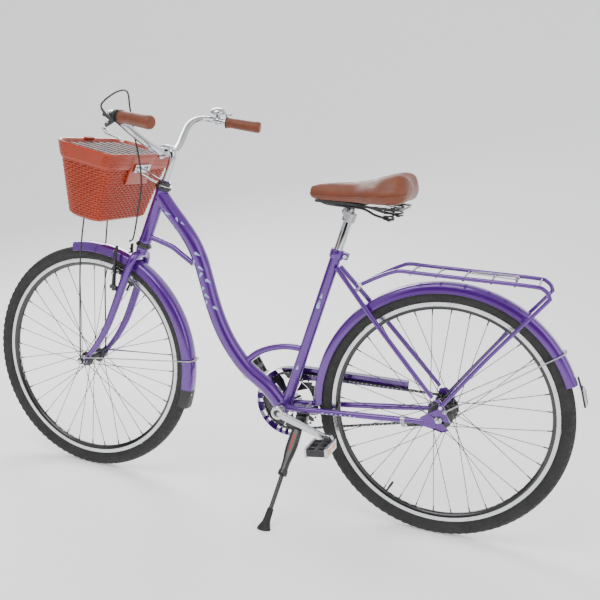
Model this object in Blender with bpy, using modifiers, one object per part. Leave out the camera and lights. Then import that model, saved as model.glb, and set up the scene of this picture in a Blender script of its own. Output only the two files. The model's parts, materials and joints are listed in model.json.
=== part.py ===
"""A step-through city bicycle leaning on its kickstand, every piece its own object, in metres.

Coordinates while building: the rear hub is the origin, +X forward, +Y to the rider's left,
+Z up along the bicycle's own upright. A root empty then leans the bicycle onto its stand.
"""

import math

import bmesh
import bpy
from mathutils import Matrix, Vector

# ---- driving sizes ----
WHEELBASE = 1.122
TYRE_RADIUS = 0.355
TYRE_WIDTH = 0.044
RIM_RADIUS = 0.317
RIM_TRACK_DEPTH = 0.0112
RIM_INNER_RADIUS = 0.294
RIM_WIDTH = 0.022
SPOKES_PER_SIDE = 18
SPOKE_RADIUS = 0.0011
HEAD_ANGLE = math.radians(70.5)
FORK_RAKE = 0.045
STEER_AT_REST = math.radians(-3.8)
LEAN_ON_STAND = math.radians(5.0)
BB_X = 0.460
BB_Z = -0.054
BB_SHELL_RADIUS = 0.020
BB_SHELL_WIDTH = 0.068
SEAT_ANGLE = math.radians(74.6)
SEAT_TUBE_LENGTH = 0.500
SEAT_TUBE_RADIUS = 0.016
SEAT_POST_RADIUS = 0.0127
SADDLE_RISE = 0.108
HEAD_TUBE_LENGTH = 0.173
HEAD_TUBE_RADIUS = 0.018
HEAD_TUBE_BOTTOM = 0.388
DOWN_TUBE_RADIUS = 0.0235
STRUT_RADIUS = 0.0085
CHAINSTAY_RADIUS = 0.009
SEATSTAY_RADIUS = 0.007
DROPOUT_INNER = 0.056
DROPOUT_THICKNESS = 0.005
STEERER_RADIUS = 0.0127
BAR_RADIUS = 0.0111
GRIP_RADIUS = 0.0165
CRANK_LENGTH = 0.165
CRANK_AT_REST = math.radians(198.6)
CHAIN_LINE = 0.046
CHAIN_PITCH = 0.0127
WHEEL_FACETS = 40
CHAINRING_TEETH = 44
SPROCKET_TEETH = 18
PEDAL_LENGTH = 0.092
PEDAL_DEPTH = 0.066
PEDAL_THICKNESS = 0.026
RACK_HALF_WIDTH = 0.062
RACK_HEIGHT = 0.397
RACK_TUBE_RADIUS = 0.0055
FENDER_RADIUS = 0.372
FENDER_HALF_WIDTH = 0.0265
SHEET = 0.0012
BASKET_HALF_WIDTH = 0.172
BASKET_WALL = 0.004
GAP = 0.0004
SLIP = 0.0003

S_AXIS = Vector((-math.cos(HEAD_ANGLE), 0.0, math.sin(HEAD_ANGLE)))
FRONT_AXLE = Vector((WHEELBASE, 0.0, 0.0))
AXIS_FOOT = Vector((WHEELBASE - FORK_RAKE / math.sin(HEAD_ANGLE), 0.0, 0.0))
SEAT_AXIS = Vector((-math.cos(SEAT_ANGLE), 0.0, math.sin(SEAT_ANGLE)))
BB = Vector((BB_X, 0.0, BB_Z))
SEAT_TOP = BB + SEAT_AXIS * SEAT_TUBE_LENGTH
HEAD_LOW = AXIS_FOOT + S_AXIS * (HEAD_TUBE_BOTTOM / math.sin(HEAD_ANGLE))
HEAD_TOP = HEAD_LOW + S_AXIS * HEAD_TUBE_LENGTH

MATERIALS = {
    "purple_paint": ((0.20, 0.05, 0.42, 1), 0.25, 0.5),
    "black_paint": ((0.015, 0.015, 0.017, 1), 0.35, 0.2),
    "tyre_rubber": ((0.012, 0.012, 0.012, 1), 0.8, 0.0),
    "chrome": ((0.75, 0.76, 0.78, 1), 0.12, 1.0),
    "rim_alloy": ((0.5, 0.51, 0.53, 1), 0.3, 1.0),
    "steel": ((0.35, 0.36, 0.38, 1), 0.35, 1.0),
    "brown_leather": ((0.22, 0.075, 0.03, 1), 0.5, 0.0),
    "woven_plastic": ((0.55, 0.09, 0.02, 1), 0.45, 0.0),
    "dark_slats": ((0.10, 0.02, 0.012, 1), 0.45, 0.0),
    "black_plastic": ((0.02, 0.02, 0.022, 1), 0.5, 0.0),
    "clear_plastic": ((0.6, 0.6, 0.62, 1), 0.1, 0.0),
}


def clear_scene():
    for obj in list(bpy.data.objects):
        bpy.data.objects.remove(obj, do_unlink=True)


clear_scene()
BIKE = bpy.data.collections.new("bicycle_on_stand")
bpy.context.scene.collection.children.link(BIKE)


def material(name):
    found = bpy.data.materials.get(name)
    if found:
        return found
    colour, rough, metal = MATERIALS[name]
    made = bpy.data.materials.new(name)
    made.use_nodes = True
    shader = made.node_tree.nodes["Principled BSDF"]
    shader.inputs["Base Color"].default_value = colour
    shader.inputs["Roughness"].default_value = rough
    shader.inputs["Metallic"].default_value = metal
    made.diffuse_color = colour
    return made


# ---- shape helpers: each returns an object whose mesh is in building coordinates ----
def new_object(data, name="shape"):
    obj = bpy.data.objects.new(name, data)
    BIKE.objects.link(obj)
    return obj


def baked(obj, merge=0.00002):
    """The object's evaluated shape as a plain mesh object; the source object is removed."""
    bpy.context.view_layer.update()
    graph = bpy.context.evaluated_depsgraph_get()
    mesh = bpy.data.meshes.new_from_object(obj.evaluated_get(graph))
    mesh.transform(obj.matrix_world)
    bpy.data.objects.remove(obj, do_unlink=True)
    body = bmesh.new()
    body.from_mesh(mesh)
    bmesh.ops.remove_doubles(body, verts=body.verts, dist=merge)
    bmesh.ops.recalc_face_normals(body, faces=body.faces)
    body.to_mesh(mesh)
    body.free()
    return new_object(mesh)


def facing(direction):
    """A matrix that turns local Z onto the direction."""
    return Vector(direction).to_track_quat("Z", "Y").to_matrix().to_4x4()


def rod(start, end, radius, end_radius=None, sides=12):
    """A straight round bar between two points."""
    start, end = Vector(start), Vector(end)
    body = bmesh.new()
    bmesh.ops.create_cone(
        body, cap_ends=True, segments=sides, radius1=radius,
        radius2=radius if end_radius is None else end_radius, depth=(end - start).length)
    mesh = bpy.data.meshes.new("rod")
    body.to_mesh(mesh)
    body.free()
    mesh.transform(Matrix.Translation((start + end) / 2) @ facing(end - start))
    return new_object(mesh)


def block(size, centre, turn=None, bevel=0.0):
    """A box, turned by a matrix about its centre, with its edges bevelled."""
    body = bmesh.new()
    bmesh.ops.create_cube(body, size=1.0)
    mesh = bpy.data.meshes.new("block")
    body.to_mesh(mesh)
    body.free()
    mesh.transform(Matrix.Diagonal((*size, 1)))
    obj = new_object(mesh)
    if bevel:
        mod = obj.modifiers.new("edges", "BEVEL")
        mod.width = bevel
        mod.segments = 1
        obj = baked(obj)
    obj.data.transform(Matrix.Translation(Vector(centre)) @ (turn or Matrix.Identity(4)))
    return obj


def smooth(points, steps=4):
    """Points along a smooth curve through the given points, with any radius carried along."""
    points = [tuple(p) for p in points]
    out = []
    for i in range(len(points) - 1):
        before = points[max(i - 1, 0)]
        a, b = points[i], points[i + 1]
        after = points[min(i + 2, len(points) - 1)]
        for k in range(steps):
            t = k / steps
            out.append(tuple(
                0.5 * (2 * q + (r - p) * t + (2 * p - 5 * q + 4 * r - s) * t * t
                       + (3 * q - p - 3 * r + s) * t ** 3)
                for p, q, r, s in zip(before, a, b, after)))
    out.append(points[-1])
    return out


def tube(points, radius, sides=8, closed=False):
    """A round bar swept along points (x, y, z) or (x, y, z, radius)."""
    curve = bpy.data.curves.new("tube", "CURVE")
    curve.dimensions = "3D"
    curve.bevel_depth = radius
    curve.bevel_resolution = (sides - 4) // 2
    curve.use_fill_caps = not closed
    curve.twist_mode = "MINIMUM"
    line = curve.splines.new("POLY")
    line.points.add(len(points) - 1)
    for spot, p in zip(line.points, points):
        spot.co = (p[0], p[1], p[2], 1)
        spot.radius = p[3] / radius if len(p) > 3 else 1.0
    line.use_cyclic_u = closed
    return baked(new_object(curve))


def lathe(profile, centre, axis, steps=24, closed=False, angle=math.tau, start=0.0, wall=0.0):
    """Turns a profile of (radius, height) points round an axis through the centre."""
    mesh = bpy.data.meshes.new("profile")
    spots = [(r * math.cos(start), r * math.sin(start), h) for r, h in profile]
    edges = [(i, i + 1) for i in range(len(spots) - 1)]
    if closed:
        edges.append((len(spots) - 1, 0))
    mesh.from_pydata(spots, edges, [])
    obj = new_object(mesh)
    turn = obj.modifiers.new("turn", "SCREW")
    turn.axis = "Z"
    turn.steps = turn.render_steps = steps
    turn.angle = angle
    turn.use_merge_vertices = angle > 6.28
    turn.merge_threshold = 0.00002
    if wall:
        skin = obj.modifiers.new("wall", "SOLIDIFY")
        skin.thickness = wall
        skin.offset = 0
    obj = baked(obj)
    obj.data.transform(Matrix.Translation(Vector(centre)) @ facing(axis))
    return obj


def plate(outlines, thickness, y, sides_only=False):
    """A flat plate in the XZ plane, its outlines given as (x, z), centred on y."""
    curve = bpy.data.curves.new("plate", "CURVE")
    curve.dimensions = "2D"
    curve.fill_mode = "BOTH"
    curve.extrude = thickness / 2
    for outline in outlines:
        line = curve.splines.new("POLY")
        line.points.add(len(outline) - 1)
        for spot, (x, z) in zip(line.points, outline):
            spot.co = (x, z, 0, 1)
        line.use_cyclic_u = True
    obj = baked(new_object(curve))
    obj.data.transform(Matrix.Translation((0, y, 0)) @ Matrix.Rotation(math.pi / 2, 4, "X"))
    return obj


def circle(x, z, radius, sides=20, turn=0.0):
    return [(x + radius * math.cos(turn + math.tau * i / sides),
             z + radius * math.sin(turn + math.tau * i / sides)) for i in range(sides)]


def combined(target, others, operation, self_cross=False):
    """The target united with, or cut by, the other shapes, which are used up."""
    for other in others:
        mod = target.modifiers.new("op", "BOOLEAN")
        mod.operation = operation
        mod.solver = "EXACT"
        mod.use_self = self_cross
        mod.object = other
    done = baked(target, merge=0.000004)
    for other in others:
        bpy.data.objects.remove(other, do_unlink=True)
    return done


def unite(first, *others, self_cross=False):
    return combined(first, list(others), "UNION", self_cross)


def cut(first, *others):
    return combined(first, list(others), "DIFFERENCE")


def joined(shapes):
    """Several shapes held in one mesh, before a Boolean that makes them one body."""
    body = bmesh.new()
    for shape in shapes:
        body.from_mesh(shape.data)
        bpy.data.objects.remove(shape, do_unlink=True)
    mesh = bpy.data.meshes.new("joined")
    body.to_mesh(mesh)
    body.free()
    return new_object(mesh)


def moved(obj, matrix):
    obj.data.transform(matrix)
    return obj


def mirrored(obj):
    """The shape mirrored to the other side of the bicycle."""
    obj.data.transform(Matrix.Diagonal((1, -1, 1, 1)))
    obj.data.flip_normals()
    return obj


def both_sides(points, side):
    return [(p[0], p[1] * side, *p[2:]) for p in points]


# ---- assembly helpers ----
def empty(name, parent, at):
    obj = bpy.data.objects.new(name, None)
    BIKE.objects.link(obj)
    obj.parent = parent
    obj["at"] = tuple(at)
    above = Vector(parent["at"]) if parent else Vector()
    obj.location = Vector(at) - above
    return obj


ROOT = empty("bicycle", None, (0, 0, 0))
STEERING = empty("steering", ROOT, HEAD_LOW)


def place(name, obj, paint, parent=ROOT, pivot=None, subdivide=0):
    """Names the shape, gives it its material and parent, and puts its origin on its joint."""
    obj.name = obj.data.name = name
    pivot = Vector(pivot if pivot is not None else parent["at"])
    obj.data.transform(Matrix.Translation(-pivot))
    obj.parent = parent
    obj.location = pivot - Vector(parent["at"])
    obj["at"] = tuple(pivot)
    obj.data.materials.clear()
    obj.data.materials.append(material(paint))
    if subdivide:
        mod = obj.modifiers.new("soften", "SUBSURF")
        mod.levels = mod.render_levels = subdivide
    return obj


def axis_x(z):
    """Where the steering axis is at this height."""
    return AXIS_FOOT.x - z / math.tan(HEAD_ANGLE)


# ---- wheels ----
def wheel(tag, parent, hub, flange_radius, flange_y, barrel, hub_half):
    """A tyre, a rim, and a hub with its laced spokes, all turning about the hub."""
    half = TYRE_WIDTH / 2
    seat = RIM_RADIUS + SLIP
    rise = TYRE_RADIUS - seat
    tread = [(TYRE_RADIUS, 0), (seat + rise * 0.88, half * 0.60), (seat + rise * 0.60, half * 0.95),
             (seat + rise * 0.25, half * 0.98), (seat, half * 0.5)]
    loop = tread + [(r, -h) for r, h in reversed(tread[1:])]
    y_axis = (0, 1, 0)
    place(tag + "_tyre", lathe(loop, hub, y_axis, WHEEL_FACETS, closed=True), "tyre_rubber", parent, hub)
    edge = RIM_WIDTH / 2
    track = RIM_RADIUS - RIM_TRACK_DEPTH
    side = [(RIM_RADIUS, edge), (track, edge), (RIM_INNER_RADIUS, edge * 0.4)]
    loop = side + [(r, -h) for r, h in reversed(side)]
    place(tag + "_rim", lathe(loop, hub, y_axis, WHEEL_FACETS, closed=True), "rim_alloy", parent, hub)
    bore = 0.0053
    body = [(bore, hub_half), (barrel * 0.8, hub_half), (barrel, flange_y + 0.004),
            (flange_radius + 0.004, flange_y + 0.002), (flange_radius + 0.004, flange_y - 0.002),
            (barrel, flange_y - 0.004)]
    loop = body + [(r, -h) for r, h in reversed(body)]
    shell = lathe(loop, hub, y_axis, 16, closed=True)
    wires = []
    step = math.tau / SPOKES_PER_SIDE
    for side in (1, -1):
        for i in range(SPOKES_PER_SIDE):
            lead = 1 if i % 2 else -1
            at_hub = i * step + (step / 2 if side < 0 else 0)
            at_rim = at_hub + lead * 3 * step
            y_hub = side * (flange_y + lead * 0.0022)
            reach = RIM_INNER_RADIUS * math.cos(math.pi / WHEEL_FACETS) - 2 * SLIP
            a = Vector((flange_radius * math.cos(at_hub), y_hub, flange_radius * math.sin(at_hub)))
            b = Vector((reach * math.cos(at_rim), side * 0.002, reach * math.sin(at_rim)))
            wires.append(rod(hub + a, hub + b, SPOKE_RADIUS, sides=3))
    hub_body = unite(shell, joined(wires), self_cross=True)
    place(tag + "_hub", hub_body, "steel", parent, hub)


REAR = Vector((0, 0, 0))
REAR_WHEEL = empty("rear_wheel", ROOT, REAR)
FRONT_WHEEL = empty("front_wheel", STEERING, FRONT_AXLE)
wheel("rear", REAR_WHEEL, REAR, 0.031, 0.027, 0.024, 0.038)
wheel("front", FRONT_WHEEL, FRONT_AXLE, 0.018, 0.030, 0.013, 0.043)


def axle(name, hub, half, inner, outer, parent):
    """A threaded axle with a nut outside each dropout and a cone inside it."""
    side = [(0.0, half), (0.0047, half), (0.0047, outer + 0.009), (0.0095, outer + 0.009),
            (0.0095, outer + GAP), (0.0047, outer + GAP), (0.0047, inner - GAP),
            (0.0085, inner - GAP), (0.0085, inner - 0.004), (0.0047, inner - 0.004)]
    loop = side + [(r, -h) for r, h in reversed(side)]
    place(name, lathe(loop, hub, (0, 1, 0), 8), "steel", parent, hub)


DROP_OUT = DROPOUT_INNER + DROPOUT_THICKNESS
axle("rear_axle", REAR, 0.078, DROPOUT_INNER - 0.0045, DROP_OUT, ROOT)
FORK_INNER = 0.0475
axle("front_axle", FRONT_AXLE, 0.068, FORK_INNER, FORK_INNER + 0.005, STEERING)

# ---- frame ----
head_profile = [(HEAD_TUBE_RADIUS, HEAD_TUBE_LENGTH), (HEAD_TUBE_RADIUS, 0),
                (STEERER_RADIUS + 0.002, 0), (STEERER_RADIUS + 0.002, HEAD_TUBE_LENGTH)]
place("head_tube", lathe(head_profile, HEAD_LOW, S_AXIS, 24, closed=True), "purple_paint")


def head_cutter():
    return rod(HEAD_LOW - S_AXIS * 0.05, HEAD_TOP + S_AXIS * 0.05,
               HEAD_TUBE_RADIUS + GAP, sides=24)


def seat_cutter(grow=GAP):
    return rod(BB, SEAT_TOP + SEAT_AXIS * 0.05, SEAT_TUBE_RADIUS + grow, sides=20)


def bb_cutter():
    return rod(BB - Vector((0, 0.08, 0)), BB + Vector((0, 0.08, 0)),
               BB_SHELL_RADIUS + GAP, sides=24)


def on_head(along):
    return HEAD_LOW + S_AXIS * (HEAD_TUBE_LENGTH * along)


DOWN_PATH = [tuple(on_head(0.90)), (0.852, 0, 0.494), (0.812, 0, 0.449), (0.777, 0, 0.404),
             (0.750, 0, 0.354), (0.729, 0, 0.295), (0.710, 0, 0.238), (0.687, 0, 0.181),
             (0.660, 0, 0.130), (0.628, 0, 0.085), (0.586, 0, 0.041),
             tuple(BB + Vector((0.060, 0, 0.048))), tuple(BB + Vector((0.012, 0, -0.002)))]
down_tube = cut(tube(smooth(DOWN_PATH, 2), DOWN_TUBE_RADIUS, 12),
                head_cutter(), seat_cutter(), bb_cutter())
place("down_tube", down_tube, "purple_paint")


def down_cutter():
    return tube(smooth(DOWN_PATH, 2), DOWN_TUBE_RADIUS + GAP, 12)


strut_path = [tuple(on_head(0.13)), (0.851, 0, 0.3855), (0.812, 0, 0.363), (0.772, 0, 0.338)]
strut = cut(tube(smooth(strut_path, 3), STRUT_RADIUS, 10), head_cutter(), down_cutter())
place("head_strut", strut, "purple_paint")

seat_at = BB + SEAT_AXIS * 0.187
arch_path = [(0.600, 0, 0.050), (0.578, 0, 0.077), (0.550, 0, 0.099), (0.512, 0, 0.1165),
             (0.466, 0, 0.1270), tuple(seat_at)]
arch = cut(tube(smooth(arch_path, 3), STRUT_RADIUS + 0.001, 10), seat_cutter(), down_cutter())
place("arch_strut", arch, "purple_paint")

post_bore = SEAT_POST_RADIUS + SLIP
seat_profile = [(SEAT_TUBE_RADIUS, SEAT_TUBE_LENGTH), (SEAT_TUBE_RADIUS, 0),
                (post_bore, 0), (post_bore, SEAT_TUBE_LENGTH)]
seat_tube = cut(lathe(seat_profile, BB, SEAT_AXIS, 20, closed=True), bb_cutter())
place("seat_tube", seat_tube, "purple_paint")

half_shell = BB_SHELL_WIDTH / 2
shell_profile = [(BB_SHELL_RADIUS, half_shell), (BB_SHELL_RADIUS, -half_shell),
                 (0.0125, -half_shell), (0.0125, half_shell)]
place("bb_shell", lathe(shell_profile, BB, (0, 1, 0), 24, closed=True), "purple_paint")

DROP_Y = DROPOUT_INNER + DROPOUT_THICKNESS / 2
DROP_OUTLINE = [(0.050, -0.022), (0.050, 0.000), (0.030, 0.014), (0.022, 0.052), (0.002, 0.058),
                (-0.012, 0.040), (-0.022, 0.016), (-0.034, -0.006), (-0.030, -0.026),
                (-0.012, -0.034), (0.012, -0.028)]
stays = []
for side in (1, -1):
    path = both_sides([(BB_X - 0.004, 0.0255, BB_Z + 0.004), (0.405, 0.0315, -0.047),
                       (0.350, 0.0350, -0.0415), (0.240, 0.0435, -0.0310), (0.120, 0.0525, -0.0195),
                       (0.040, 0.0585, -0.0110)], side)
    radii = [1.0, 1.0, 0.92, 1.0, 0.95, 0.72]
    spots = [(*p, CHAINSTAY_RADIUS * k) for p, k in zip(path, radii)]
    stays.append(tube(spots, CHAINSTAY_RADIUS, 10))
    stays.append(plate([DROP_OUTLINE, circle(0, 0, 0.0056, 12)],
                       DROPOUT_THICKNESS, side * DROP_Y))
BRIDGE_LOW = Vector((0.388, 0, -0.0450))
stays.append(rod(BRIDGE_LOW - Vector((0, 0.030, 0)), BRIDGE_LOW + Vector((0, 0.030, 0)),
                 0.006, sides=10))
stays = cut(unite(stays[0], *stays[1:]), bb_cutter())
place("chainstays", stays, "purple_paint")

BRIDGE_HIGH = Vector((0.268, 0, 0.318))
uppers = []
for side in (1, -1):
    path = both_sides([(0.3245, 0.0165, 0.3775), (0.302, 0.0215, 0.354), (0.268, 0.0290, 0.318),
                       (0.236, 0.0360, 0.284), (0.180, 0.0450, 0.2245), (0.090, 0.0540, 0.130),
                       (0.022, 0.0588, 0.0595)], side)
    spots = [(*p, SEATSTAY_RADIUS * (1.0 if p[0] > 0.05 else 0.8)) for p in path]
    uppers.append(tube(spots, SEATSTAY_RADIUS, 8))
uppers.append(rod(BRIDGE_HIGH - Vector((0, 0.030, 0)), BRIDGE_HIGH + Vector((0, 0.030, 0)),
                  0.006, sides=10))
tab = plate([[(x, z) for x, z in DROP_OUTLINE]], DROPOUT_THICKNESS + 2 * GAP, DROP_Y)
tab_right = plate([[(x, z) for x, z in DROP_OUTLINE]], DROPOUT_THICKNESS + 2 * GAP, -DROP_Y)
uppers = cut(unite(uppers[0], *uppers[1:]), seat_cutter(), tab, tab_right)
place("seatstays", uppers, "purple_paint")

# ---- headset ----
lower_cup = [(0.0215, -GAP), (0.0215, -0.007), (0.0245, -0.0075), (0.0245, -0.0125),
             (0.0200, -0.0160), (STEERER_RADIUS + SLIP, -0.0160), (STEERER_RADIUS + SLIP, -GAP)]
place("headset_lower", lathe(lower_cup, HEAD_LOW, S_AXIS, 20, closed=True), "black_paint")
upper_cup = [(STEERER_RADIUS + SLIP, 0.0130), (0.0220, 0.0130), (0.0245, 0.0085),
             (0.0245, 0.0050), (0.0215, 0.0040), (0.0215, GAP), (STEERER_RADIUS + SLIP, GAP)]
place("headset_upper", lathe(upper_cup, HEAD_TOP, S_AXIS, 20, closed=True), "black_paint")

# ---- fork ----
BLADE_Y = 0.050
blade = []
for z, ahead, y, r in ((0.021, 0.0345, 0.0500, 0.0072), (0.045, 0.0225, 0.0502, 0.0088),
                       (0.080, 0.0110, 0.0500, 0.0100), (0.125, 0.0025, 0.0495, 0.0112),
                       (0.180, 0.0, 0.0485, 0.0120), (0.250, 0.0, 0.0460, 0.0128),
                       (0.300, 0.0, 0.0435, 0.0126), (0.330, 0.0, 0.0400, 0.0122),
                       (0.348, 0.0, 0.0280, 0.0122), (0.352, 0.0, 0.0, 0.0128)):
    blade.append((axis_x(z) + ahead, y, z, r))
arch_of_fork = blade + both_sides(list(reversed(blade[:-1])), -1)
fork = tube(arch_of_fork, 0.012, 10)
steer_low = AXIS_FOOT + S_AXIS * (0.345 / math.sin(HEAD_ANGLE))
steer_top = HEAD_TOP + S_AXIS * 0.030
quill_bore = BAR_RADIUS + SLIP
steerer = rod(steer_low, steer_top, STEERER_RADIUS, sides=16)
collar_base = HEAD_LOW - S_AXIS * 0.0165
crown_race = rod(collar_base - S_AXIS * 0.018, collar_base, 0.0165, 0.0195, sides=16)
fork_tab = [(FRONT_AXLE.x + 0.0135 * math.cos(math.radians(d)), 0.0135 * math.sin(math.radians(d)))
            for d in range(195, 421, 25)]
fork_tab += [(axis_x(0.033) + 0.0345, 0.034), (axis_x(0.036) + 0.0225, 0.030)]
ends = []
for side in (1, -1):
    ends.append(plate([fork_tab], 0.005, side * (FORK_INNER + 0.0025)))
fork = unite(fork, crown_race, steerer, *ends)
bores = [rod(HEAD_TOP - S_AXIS * 0.090, steer_top + S_AXIS * 0.01, quill_bore, sides=16),
         rod(FRONT_AXLE - Vector((0, 0.07, 0)), FRONT_AXLE + Vector((0, 0.07, 0)), 0.0052, sides=12)]
fork = cut(fork, *bores)
place("fork", fork, "purple_paint", STEERING, HEAD_LOW)

# ---- stem, handlebar and grips ----
BAR_MID = Vector((0.868, 0, 0.665))
STEM_HIGH = AXIS_FOOT + S_AXIS * (0.652 / math.sin(HEAD_ANGLE))
quill_low = HEAD_TOP - S_AXIS * 0.085
quill = [(*quill_low,), (*(HEAD_TOP + S_AXIS * 0.045),), (*(STEM_HIGH - S_AXIS * 0.022),),
         (*(STEM_HIGH + Vector((0.006, 0, 0.006))),), (*(BAR_MID + Vector((-0.004, 0, 0))),)]
stem = tube(smooth(quill, 3), BAR_RADIUS, 16)
clamp = rod(BAR_MID - Vector((0, 0.020, 0)), BAR_MID + Vector((0, 0.020, 0)), 0.0175, sides=18)
ears = block((0.022, 0.018, 0.013), BAR_MID + Vector((0.014, 0, -0.013)),
             Matrix.Rotation(math.radians(40), 4, "Y"))
stem = unite(stem, clamp, ears)
stem = cut(stem, rod(BAR_MID - Vector((0, 0.03, 0)), BAR_MID + Vector((0, 0.03, 0)),
                     BAR_RADIUS + SLIP, sides=16))
place("stem", stem, "chrome", STEERING, HEAD_LOW)

BAR_SIDE = [(0.868, 0.045, 0.665), (0.876, 0.085, 0.681), (0.891, 0.135, 0.711),
            (0.902, 0.185, 0.742), (0.898, 0.232, 0.758), (0.872, 0.268, 0.760),
            (0.832, 0.289, 0.755), (0.780, 0.302, 0.751), (0.724, 0.315, 0.747)]
half_bar = smooth([(0.868, 0.024, 0.665), *BAR_SIDE], 2)
bar_path = list(reversed(both_sides(half_bar, -1))) + half_bar
place("handlebar", tube(bar_path, BAR_RADIUS, 8), "chrome", STEERING, HEAD_LOW)


def on_bar(x, side):
    """The bar's centre behind its widest forward point, and its direction, at this x."""
    for a, b in zip(half_bar[:-1], half_bar[1:]):
        if a[0] >= x >= b[0] and a[1] > 0.2:
            a, b = Vector(a), Vector(b)
            spot = a + (b - a) * ((a.x - x) / (a.x - b.x))
            way = (b - a).normalized()
            return (Vector((spot.x, spot.y * side, spot.z)), Vector((way.x, way.y * side, way.z)))
    raise ValueError("no bar at this x")


GRIP_IN = Vector((0.829, 0.2897, 0.7548))
GRIP_OUT = Vector(BAR_SIDE[-1])


def along_grip(distance, side=1):
    """A point on the bar, measured from the inner end of the grip towards its outer end."""
    spot = GRIP_IN + (GRIP_OUT - GRIP_IN).normalized() * distance
    return Vector((spot.x, spot.y * side, spot.z))


grip_length = (GRIP_OUT - GRIP_IN).length
hole = BAR_RADIUS + 0.0012
grip_profile = [(0.0, grip_length + 0.005), (0.013, grip_length + 0.004),
                (0.0180, grip_length - 0.006), (0.0165, grip_length * 0.72),
                (GRIP_RADIUS - 0.001, grip_length * 0.45), (GRIP_RADIUS + 0.0005, grip_length * 0.2),
                (GRIP_RADIUS - 0.001, 0.009), (GRIP_RADIUS + 0.0005, 0.006),
                (GRIP_RADIUS, 0.0), (hole, 0.0), (hole, grip_length + 0.001),
                (0.0, grip_length + 0.001)]
for tag, side in (("left", 1), ("right", -1)):
    path = (GRIP_OUT - GRIP_IN) * 1.0
    direction = Vector((path.x, path.y * side, path.z))
    start = along_grip(0, side)
    place("grip_" + tag, lathe(grip_profile, start, direction, 14), "brown_leather",
          STEERING, start)

# ---- front brake: lever, cable, arms ----
PERCH, perch_axis = on_bar(0.8430, 1)
LEVER_PIVOT = PERCH + Vector((0.010, 0.030, -0.026))
ring = lathe([(BAR_RADIUS + 0.0052, 0.006), (BAR_RADIUS + 0.0052, -0.006),
              (BAR_RADIUS + 0.0018, -0.006), (BAR_RADIUS + 0.0018, 0.006)],
             PERCH, perch_axis, 16, closed=True)
arm = rod(PERCH + Vector((0.004, 0.012, -0.011)), LEVER_PIVOT + Vector((0.003, 0.002, 0.002)),
          0.0065, sides=8)
barrel = rod(PERCH + Vector((0.006, 0.0165, -0.010)), PERCH + Vector((0.034, 0.0100, 0.004)),
             0.0045, sides=8)
place("lever_bracket", unite(ring, arm, barrel), "black_plastic", STEERING, PERCH)
lever_normal = perch_axis.cross(LEVER_PIVOT - PERCH).normalized()
lever_path = [LEVER_PIVOT + Vector((0.000, 0.012, -0.010)),
              LEVER_PIVOT + Vector((-0.016, 0.026, -0.017)),
              LEVER_PIVOT + Vector((-0.045, 0.044, -0.022)),
              LEVER_PIVOT + Vector((-0.080, 0.064, -0.027)),
              LEVER_PIVOT + Vector((-0.100, 0.078, -0.033))]
lever = tube(smooth([tuple(p) for p in lever_path], 2), 0.0048, 8)
place("brake_lever", lever, "chrome", empty("lever_pivot", STEERING, LEVER_PIVOT), LEVER_PIVOT)

cable_path = [tuple(PERCH + Vector((0.0352, 0.0096, 0.0047))), (0.896, 0.280, 0.785),
              (0.890, 0.225, 0.818), (0.893, 0.170, 0.822), (0.920, 0.115, 0.780),
              (0.930, 0.080, 0.715), (0.922, 0.062, 0.640), (0.923, 0.046, 0.560),
              (0.939, 0.040, 0.470), (0.955, 0.034, 0.405), (0.975, 0.018, 0.3905),
              (0.996, -0.008, 0.3840), (1.002, -0.018, 0.3820)]
place("brake_cable", tube(smooth(cable_path, 3), 0.0023, 4), "black_plastic", STEERING, HEAD_LOW)

for tag, side in (("left", 1), ("right", -1)):
    pivot = Vector((axis_x(0.246) + 0.0255, 0.0475 * side, 0.246))
    body = tube(smooth(both_sides([(pivot.x, 0.0475, 0.2395), (pivot.x + 0.001, 0.0475, 0.262),
                                   (pivot.x + 0.001, 0.0440, 0.300), (pivot.x, 0.0440, 0.340),
                                   (pivot.x - 0.004, 0.0400, 0.372)], side), 2), 0.0068, 8)
    pad_at = Vector((pivot.x + 0.004, 0, 0.2905))
    pad = block((0.052, 0.011, 0.011), pad_at + Vector((0, 0.0192 * side, 0)),
                Matrix.Rotation(math.radians(-21), 4, "Y"), 0.002)
    pin = rod(pad_at + Vector((0, 0.022 * side, 0)), pad_at + Vector((0, 0.052 * side, 0)),
              0.0035, sides=8)
    hinge = empty("brake_pivot_" + tag, STEERING, pivot)
    place("brake_arm_" + tag, unite(body, pad, pin), "black_paint", hinge, pivot)

# ---- bell on the right bar ----
BELL_AT, bell_axis = on_bar(0.8540, -1)
ring = lathe([(BAR_RADIUS + 0.0045, 0.006), (BAR_RADIUS + 0.0045, -0.006),
              (BAR_RADIUS + 0.0018, -0.006), (BAR_RADIUS + 0.0018, 0.006)],
             BELL_AT, bell_axis, 16, closed=True)
foot = rod(BELL_AT + Vector((0, 0, 0.0135)), BELL_AT + Vector((0, 0, 0.0215)), 0.007, sides=12)
dish = rod(BELL_AT + Vector((0, 0, 0.020)), BELL_AT + Vector((0, 0, 0.0245)), 0.019, sides=16)
knob = rod(BELL_AT + Vector((0, 0, 0.024)), BELL_AT + Vector((0, 0, 0.0375)), 0.003, sides=8)
place("bell_base", unite(ring, foot, dish, knob), "chrome", STEERING, BELL_AT)
dome = [(0.0034, 0.0425), (0.012, 0.0412), (0.019, 0.0370), (0.0245, 0.0290), (0.0255, 0.0250),
        (0.0243, 0.0250), (0.0232, 0.0285), (0.018, 0.0355), (0.0115, 0.0395), (0.0034, 0.0405)]
place("bell_dome", lathe(dome, BELL_AT, (0, 0, 1), 20, closed=True), "chrome", STEERING, BELL_AT)
BELL_LEVER = BELL_AT + Vector((-0.020, -0.0205, 0.0195))
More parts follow.
